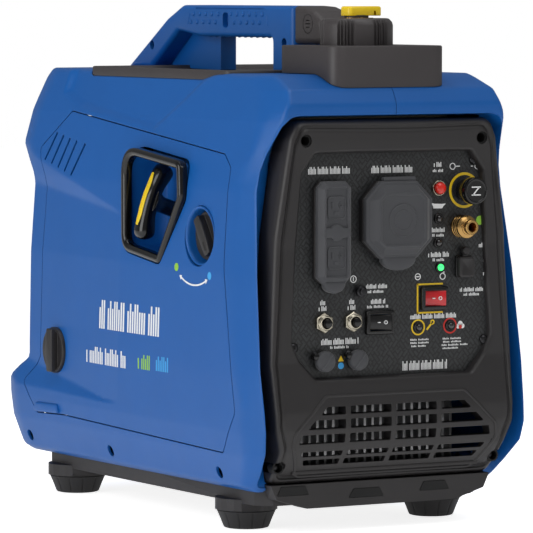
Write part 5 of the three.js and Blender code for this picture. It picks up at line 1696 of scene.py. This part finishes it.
@dataclass
class Starter:
    """The recoil starter: a gloss ring, a blue cup, and a curved grip with a yellow insert on its rope."""

    ring = ((-59, 227), (12.5, 236.2), (12.5, 331.5), (-98.6, 319.8), (-100, 286))
    corners = (9, 18, 26, 10, 15)
    centre: tuple = (-124.0, -24.0, 280.9)
    lean: float = 20.0
    length: float = 70.0

    def outline(self) -> Outline:
        """The frame ring's outer edge, in (y, z)."""
        return Outline(np.array(self.ring, float), self.corners, 9)

    def build(self) -> None:
        """Makes the ring and the cup, then the grip in its own leaning frame."""
        outline = self.outline()
        levels = [(0.4, -130.1), (0.2, -136.4), (1.2, -137.7), (3.0, -138.3), (5.0, -138.2), (6.9, -137.2),
                  (7.7, -135.6), (7.9, -130.1)]
        ring = Shape.lofted(np.stack([Along.X.place(outline.ring(inset), depth)
                                      for inset, depth in levels]), looped=True)
        piece("starter_frame_ring", ring, GLOSS, replaces=["starter_ring"], sharp=40)
        well = [(3.2, -129.6), (3.2, -91.6), (14.0, -91.6)]
        inner = [(22.0, -94.3), (11.0, -95.6), (8.2, -98.6), (6.2, -104), (5.6, -116), (5.4, -129.6)]
        rings = np.stack([Along.X.place(outline.ring(inset), depth) for inset, depth in well + inner])
        cup = Shape.lofted(rings, looped=True)
        piece("starter_blue_cup", cup, BLUE, replaces=["starter_cup"], sharp=40)
        floor = Shape.moulded(outline, Along.X, [(13.0, -95.0), (13.0, -91.7)])
        slot = Shape.prism(Outline.box((self.centre[1], 269.0), (10, 17), 3), Along.X, -120, -60)
        back = mesh_object("cup_floor", floor)
        carve(back, [slot])
        piece("starter_cup_floor", back, BLUE)
        self.build_grip()

    def frame(self) -> tuple[Array, Array]:
        """The grip's directions: out along the rope, and up along the bar."""
        a = math.radians(self.lean)
        return np.array([-math.cos(a), 0, math.sin(a)]), np.array([math.sin(a), 0, math.cos(a)])

    def build_grip(self) -> None:
        """The bar is swept along a shallow arc, thickest at its rounded ends, and its stem flares into it."""
        out, up = self.frame()
        origin = np.array(self.centre)
        s = np.concatenate([np.linspace(-1, -0.86, 7), np.linspace(-0.8, 0.8, 25), np.linspace(0.86, 1, 7)])
        bow = 2.6 - 5.4 * s**2
        path = origin + np.outer(s * self.length / 2, up) + np.outer(bow, out)
        ends = np.sqrt(np.clip(1 - np.clip((np.abs(s) - 0.80) / 0.20, 0, 1) ** 2, 0.004, 1))
        swell = 0.88 + 0.16 * ease((np.abs(s) - 0.35) / 0.4)
        thick, deep = 9.0 * swell * ends, 8.4 * swell * ends
        section = oval(1, 1, 36, 2.4)[None] * np.stack([thick, deep], -1)[:, None]
        bar = swept(path, section, out)
        t = np.linspace(0, 1, 14)
        stem_path = origin + np.outer(2 - 28 * t, out)
        radius = 7.4 + 5.0 * (1 - ease(t / 0.42))
        stem = swept(stem_path, oval(1, 1, 32)[None] * np.stack([radius * 0.98, radius], -1)[:, None],
                     (0, 1, 0))
        piece("starter_pull_grip", Shape.joined([bar, stem]), GLOSS, "starter", ["starter_grip"],
              sharp=60)
        u = np.linspace(-0.70, 0.70, 24)
        bow = 2.6 - 5.4 * u**2 + 8.4 * (0.88 + 0.16 * ease((np.abs(u) - 0.35) / 0.4)) - 1.0
        path = origin + np.outer(u * self.length / 2, up) + np.outer(bow, out)
        wide = 3.6 * np.sqrt(np.clip(1 - (np.abs(u) / 0.74) ** 4, 0.05, 1))
        section = oval(1, 1, 20, 3.0)[None] * np.stack([wide, np.full_like(u, 1.6)], -1)[:, None]
        piece("starter_grip_strip", swept(path, section, out), YELLOW, "starter", ["starter_grip_insert"],
              sharp=60)


def cross(corners: Array) -> float:
    """Twice the area of a polygon, positive where it runs anticlockwise."""
    after = np.roll(corners, -1, 0)
    return float((corners[:, 0] * after[:, 1] - corners[:, 1] * after[:, 0]).sum())


@dataclass
class SideControls:
    """The fuel selector in its dish, the door's lock knob, and the marks on the door."""

    lean: float = -34.0

    def build(self) -> None:
        """Makes each control and then the marks."""
        dish = cad_centre("selector_dish")[1:]
        wall = [(26.0, -134.0), (25.6, -134.4), (24.6, -134.0), (23.7, -132.4), (23.5, -130),
                (23.0, -122.2), (21.8, -120.7), (4.4, -120.4), (4.4, -118.0), (26.0, -118.0)]
        piece("selector_recess", lathed_ring(wall, dish, Along.X, 112), BLUE, replaces=["selector_dish"],
              sharp=40)
        knob = [lathed([(4, -107), (4, -119), (20.6, -121.3), (21.6, -122.0), (21.8, -125.4),
                        (21.0, -127.0), (19.4, -127.3), (17.6, -126.4), (0.3, -126.0)], dish, Along.X, 80)]
        bar = Outline(np.array([(-4.6, -19), (4.6, -19), (5.6, -8), (5.6, 8), (4.6, 19), (-4.6, 19),
                                (-5.6, 8), (-5.6, -8)]) + dish, 2.4)
        knob.append(Shape.moulded(bar, Along.X, slab(-133.4, -125, 1.6)).turned((1, 0, 0), self.lean,
                (0, *dish)))
        piece("selector_turn_knob", Shape.joined(knob), BLACK, "fuel_selector_knob",
              ["fuel_selector_knob"])
        # A near-black inlay on the bar where its slot is: painted shade in the slot.
        slot = Shape.prism(Outline.box(dish - [0, 10.5], (2.2, 9), 1.0), Along.X, -133.55,
                           -132).turned((1, 0, 0), self.lean, (0, *dish))
        piece("selector_slot_shade", slot, DARK, "fuel_selector_knob")
        self.build_lock()
        tab = Outline(np.array([(131, 79), (179, 77.5), (182, 81), (176, 86.5), (135, 87.5)]), 2.0)
        piece("door_finger_tab", Shape.moulded(tab, Along.X, slab(-141.5, -135.0, 1.8)), BLUE, "service_door")
        self.build_marks()

    def build_lock(self) -> None:
        """The lock knob: a dished disc with a bright rim, and a thick upright wing across it."""
        at = cad_centre("door_lock_knob")[1:]
        disc = lathed([(5.6, -127.2), (20.4, -132.6), (21.2, -133.4), (21.3, -136.2), (20.6, -137.4),
                       (19.6, -137.6), (18.6, -137.0),
                       (16.5, -135.2), (0.3, -134.6)], at, Along.X, 80)
        wing = Outline(np.array([(-5.5, -20), (5.0, -20), (6.6, -12), (7.6, 0), (6.6, 12), (5.0, 20),
                                 (-5.5, 20)]) + at, 1.5)
        made = Shape.joined([disc, Shape.moulded(wing, Along.X, slab(-141.6, -134.0, 1.0))])
        piece("lock_turn_knob", made, BLACK, "door_lock_knob", ["door_lock_knob"])

    def on_side(self, outlines: Sequence[Outline], form: Body, lift: float = 0.16) -> Shape:
        """Flat marks laid on the door: the side's place under each point is found by halving steps
        between the middle and the widest plane, until the form's depth is nought."""
        made = []
        for mark in outlines:
            ring = mark.ring()
            low, high = np.full(len(ring), -60.0), np.full(len(ring), -145.0)
            for _ in range(26):
                middle = (low + high) / 2
                inside = form.depth(np.stack([middle, ring[:, 0], ring[:, 1]], -1), False) < 0
                low, high = np.where(inside, middle, low), np.where(inside, high, middle)
            flat = np.stack([Along.X.place(ring, high + 0.3), Along.X.place(ring, high - lift)])
            made.append(Shape.lofted(flat))
        return Shape.joined(made)

    def build_marks(self) -> None:
        """The selector's dots with the arc between them, and strokes in the place of lettering."""
        form = Body()
        green = self.on_side([Outline.disc((-91.5, 226.5), 3.6, 32)], form)
        piece("selector_green_dot", green, GREEN_INK, "service_door")
        blue = self.on_side([Outline.disc((-151.5, 222), 3.4, 32)], form)
        piece("selector_blue_dot", blue, SKY_INK, "service_door")
        turn = np.radians(np.linspace(-114, -63, 18))
        middle, radius = np.array([-124.0, 262.4]), 50.0
        mid, half = middle + radius * np.stack([np.cos(turn), np.sin(turn)], -1), 0.75
        away = np.stack([np.cos(turn), np.sin(turn)], -1) * half
        arc = Outline(np.vstack([mid - away, (mid + away)[::-1]])[::-1])
        tips = []
        for end, way in ((mid[0], -1), (mid[-1], 1)):
            along = np.array([-(end - middle)[1], (end - middle)[0]]) / radius * way
            across = np.array([-along[1], along[0]])
            tips.append(Outline(np.array([end + along * 4.4, end + across * 2.4 * way,
                                          end - across * 2.4 * way])[::way * -1]))
        words = [(-3.0, 176.0, 120, 26.0, 4.4), (42.0, 138.0, 86, 15.0, 3.6)]
        strokes = [mark for y, z, wide, tall, pitch in words for mark in caption((y, z), wide, tall, pitch)]
        marks = self.on_side([arc, *strokes], form)
        piece("white_door_marks", marks, WHITE_INK, "service_door")
        piece("white_arc_tips",
              self.on_side([Outline(tip.corners if cross(tip.corners) > 0 else tip.corners[::-1])
                            for tip in tips], form), WHITE_INK, "service_door")
        piece("green_door_marks", self.on_side(caption((-34, 138.6), 26, 13.0, 3.4), form), GREEN_INK,
              "service_door")
        piece("blue_door_marks", self.on_side(caption((-67, 139.2), 28, 13.0, 3.4), form), SKY_INK,
              "service_door")
# ---------------------------------------------------------------- base and insides


@dataclass
class Base:
    """The four rubber feet, and the front apron's details on the tray."""

    flutes: int = 12

    def grooves(self, turn: Array, row: Array) -> Array:
        """What is taken off the foot's radius: twelve narrow upright grooves on its sloping side."""
        share = np.abs((turn * self.flutes / (2 * np.pi)) % 1.0 - 0.5)
        return np.where((row >= 2) & (row <= 5), -0.9 * np.exp(-(((share) / 0.05) ** 2)), 0)

    recesses: tuple = ((-89, 38.2, 32, 24), (-15.5, 33.0, 36, 26),
                       (54, 35.5, 31, 22))  # x, z, width below and above

    def build(self) -> None:
        """Makes each foot as a turned, grooved form, then the tray."""
        for name in ("front_left", "front_right", "rear_left", "rear_right"):
            at = cad_centre(f"foot_{name}")[:2]
            profile = [(15.5, 0.6), (17.6, 0.0), (19.4, 0.5), (20.2, 1.8), (22.6, 8.0), (25.2, 14.0),
                       (25.9, 15.4), (25.4, 16.0)]
            node = f"foot_{name}"
            piece(f"rubber_foot_{name}", lathed(profile, at, Along.Z, 144, self.grooves), FOOT,
                  replaces=[node], sharp=35)
        self.build_tray()

    def build_tray(self) -> None:
        """The tray's own shape with three slant-sided recesses along its front apron, and a near-black sheet
        at the back of each recess as painted shade.
        """
        tray = bpy.data.objects.new("tray", bpy.data.objects["base_tray"].data.copy())
        bpy.context.scene.collection.objects.link(tray)
        tray.matrix_world = bpy.data.objects["base_tray"].matrix_world
        weld = tray.modifiers.new("weld", "WELD")
        weld.merge_threshold = 1e-6
        outlines = []
        for x, z, low, high in self.recesses:
            corners = [(x - low / 2, z - 4), (x + low / 2, z - 4), (x + high / 2, z + 4),
                       (x - high / 2, z + 4)]
            outlines.append(Outline(np.array(corners), 1.0))
        carve(tray, [Shape.prism(outline, Along.Y, -240, -212) for outline in outlines])
        piece("moulded_base_tray", tray, TRAY, replaces=["base_tray"], sharp=12)
        # Near-black sheets at the back of the recesses: painted shade.
        recess_shade_sheets = [Shape.moulded(outline, Along.Y, [(0.2, -213.4), (0.2, -211)]) for outline in outlines]
        piece("tray_recess_painted_shade", Shape.joined(recess_shade_sheets), DARK)


@dataclass
class Insides:
    """The finishes of the pieces that stay as they are in the frame."""

    finishes: tuple = (
        (PANEL, ("control_panel",)),
        (ROPE, ("starter_rope",)),
        (BLACK, ("rope_pulley", "cap_plug", "air_cleaner")),
        (ALUMINIUM, ("engine_block", "inverter_module", "stator", "recoil_housing")),
        (PRESSED, ("muffler", "flywheel_rotor", "crankshaft")),
        (BRASS, ("fuel_valve",)),
        (TANK, ("fuel_tank",)),
    )

    def build(self) -> None:
        """Gives each node its finish in its own material slots."""
        for finish, nodes in self.finishes:
            for node in nodes:
                made = bpy.data.objects[node]
                for slot in made.material_slots:
                    slot.material = finish.material()
                LOG.info("%s is finished in %s", node, finish.name)


def main() -> None:
    """Builds the generator, sub-assembly by sub-assembly, then lights it."""
    logging.basicConfig(level=logging.INFO, format="%(message)s")
    for assembly in (
        Body(), RearCover(), FrontBezel(), ControlPanel(), Handle(), TopCover(), FuelFiller(), Starter(),
        SideControls(), Base(), Insides(), Studio(),
    ):
        LOG.info("building %s", type(assembly).__name__)
        assembly.build()


if __name__ == "__main__":
    main()
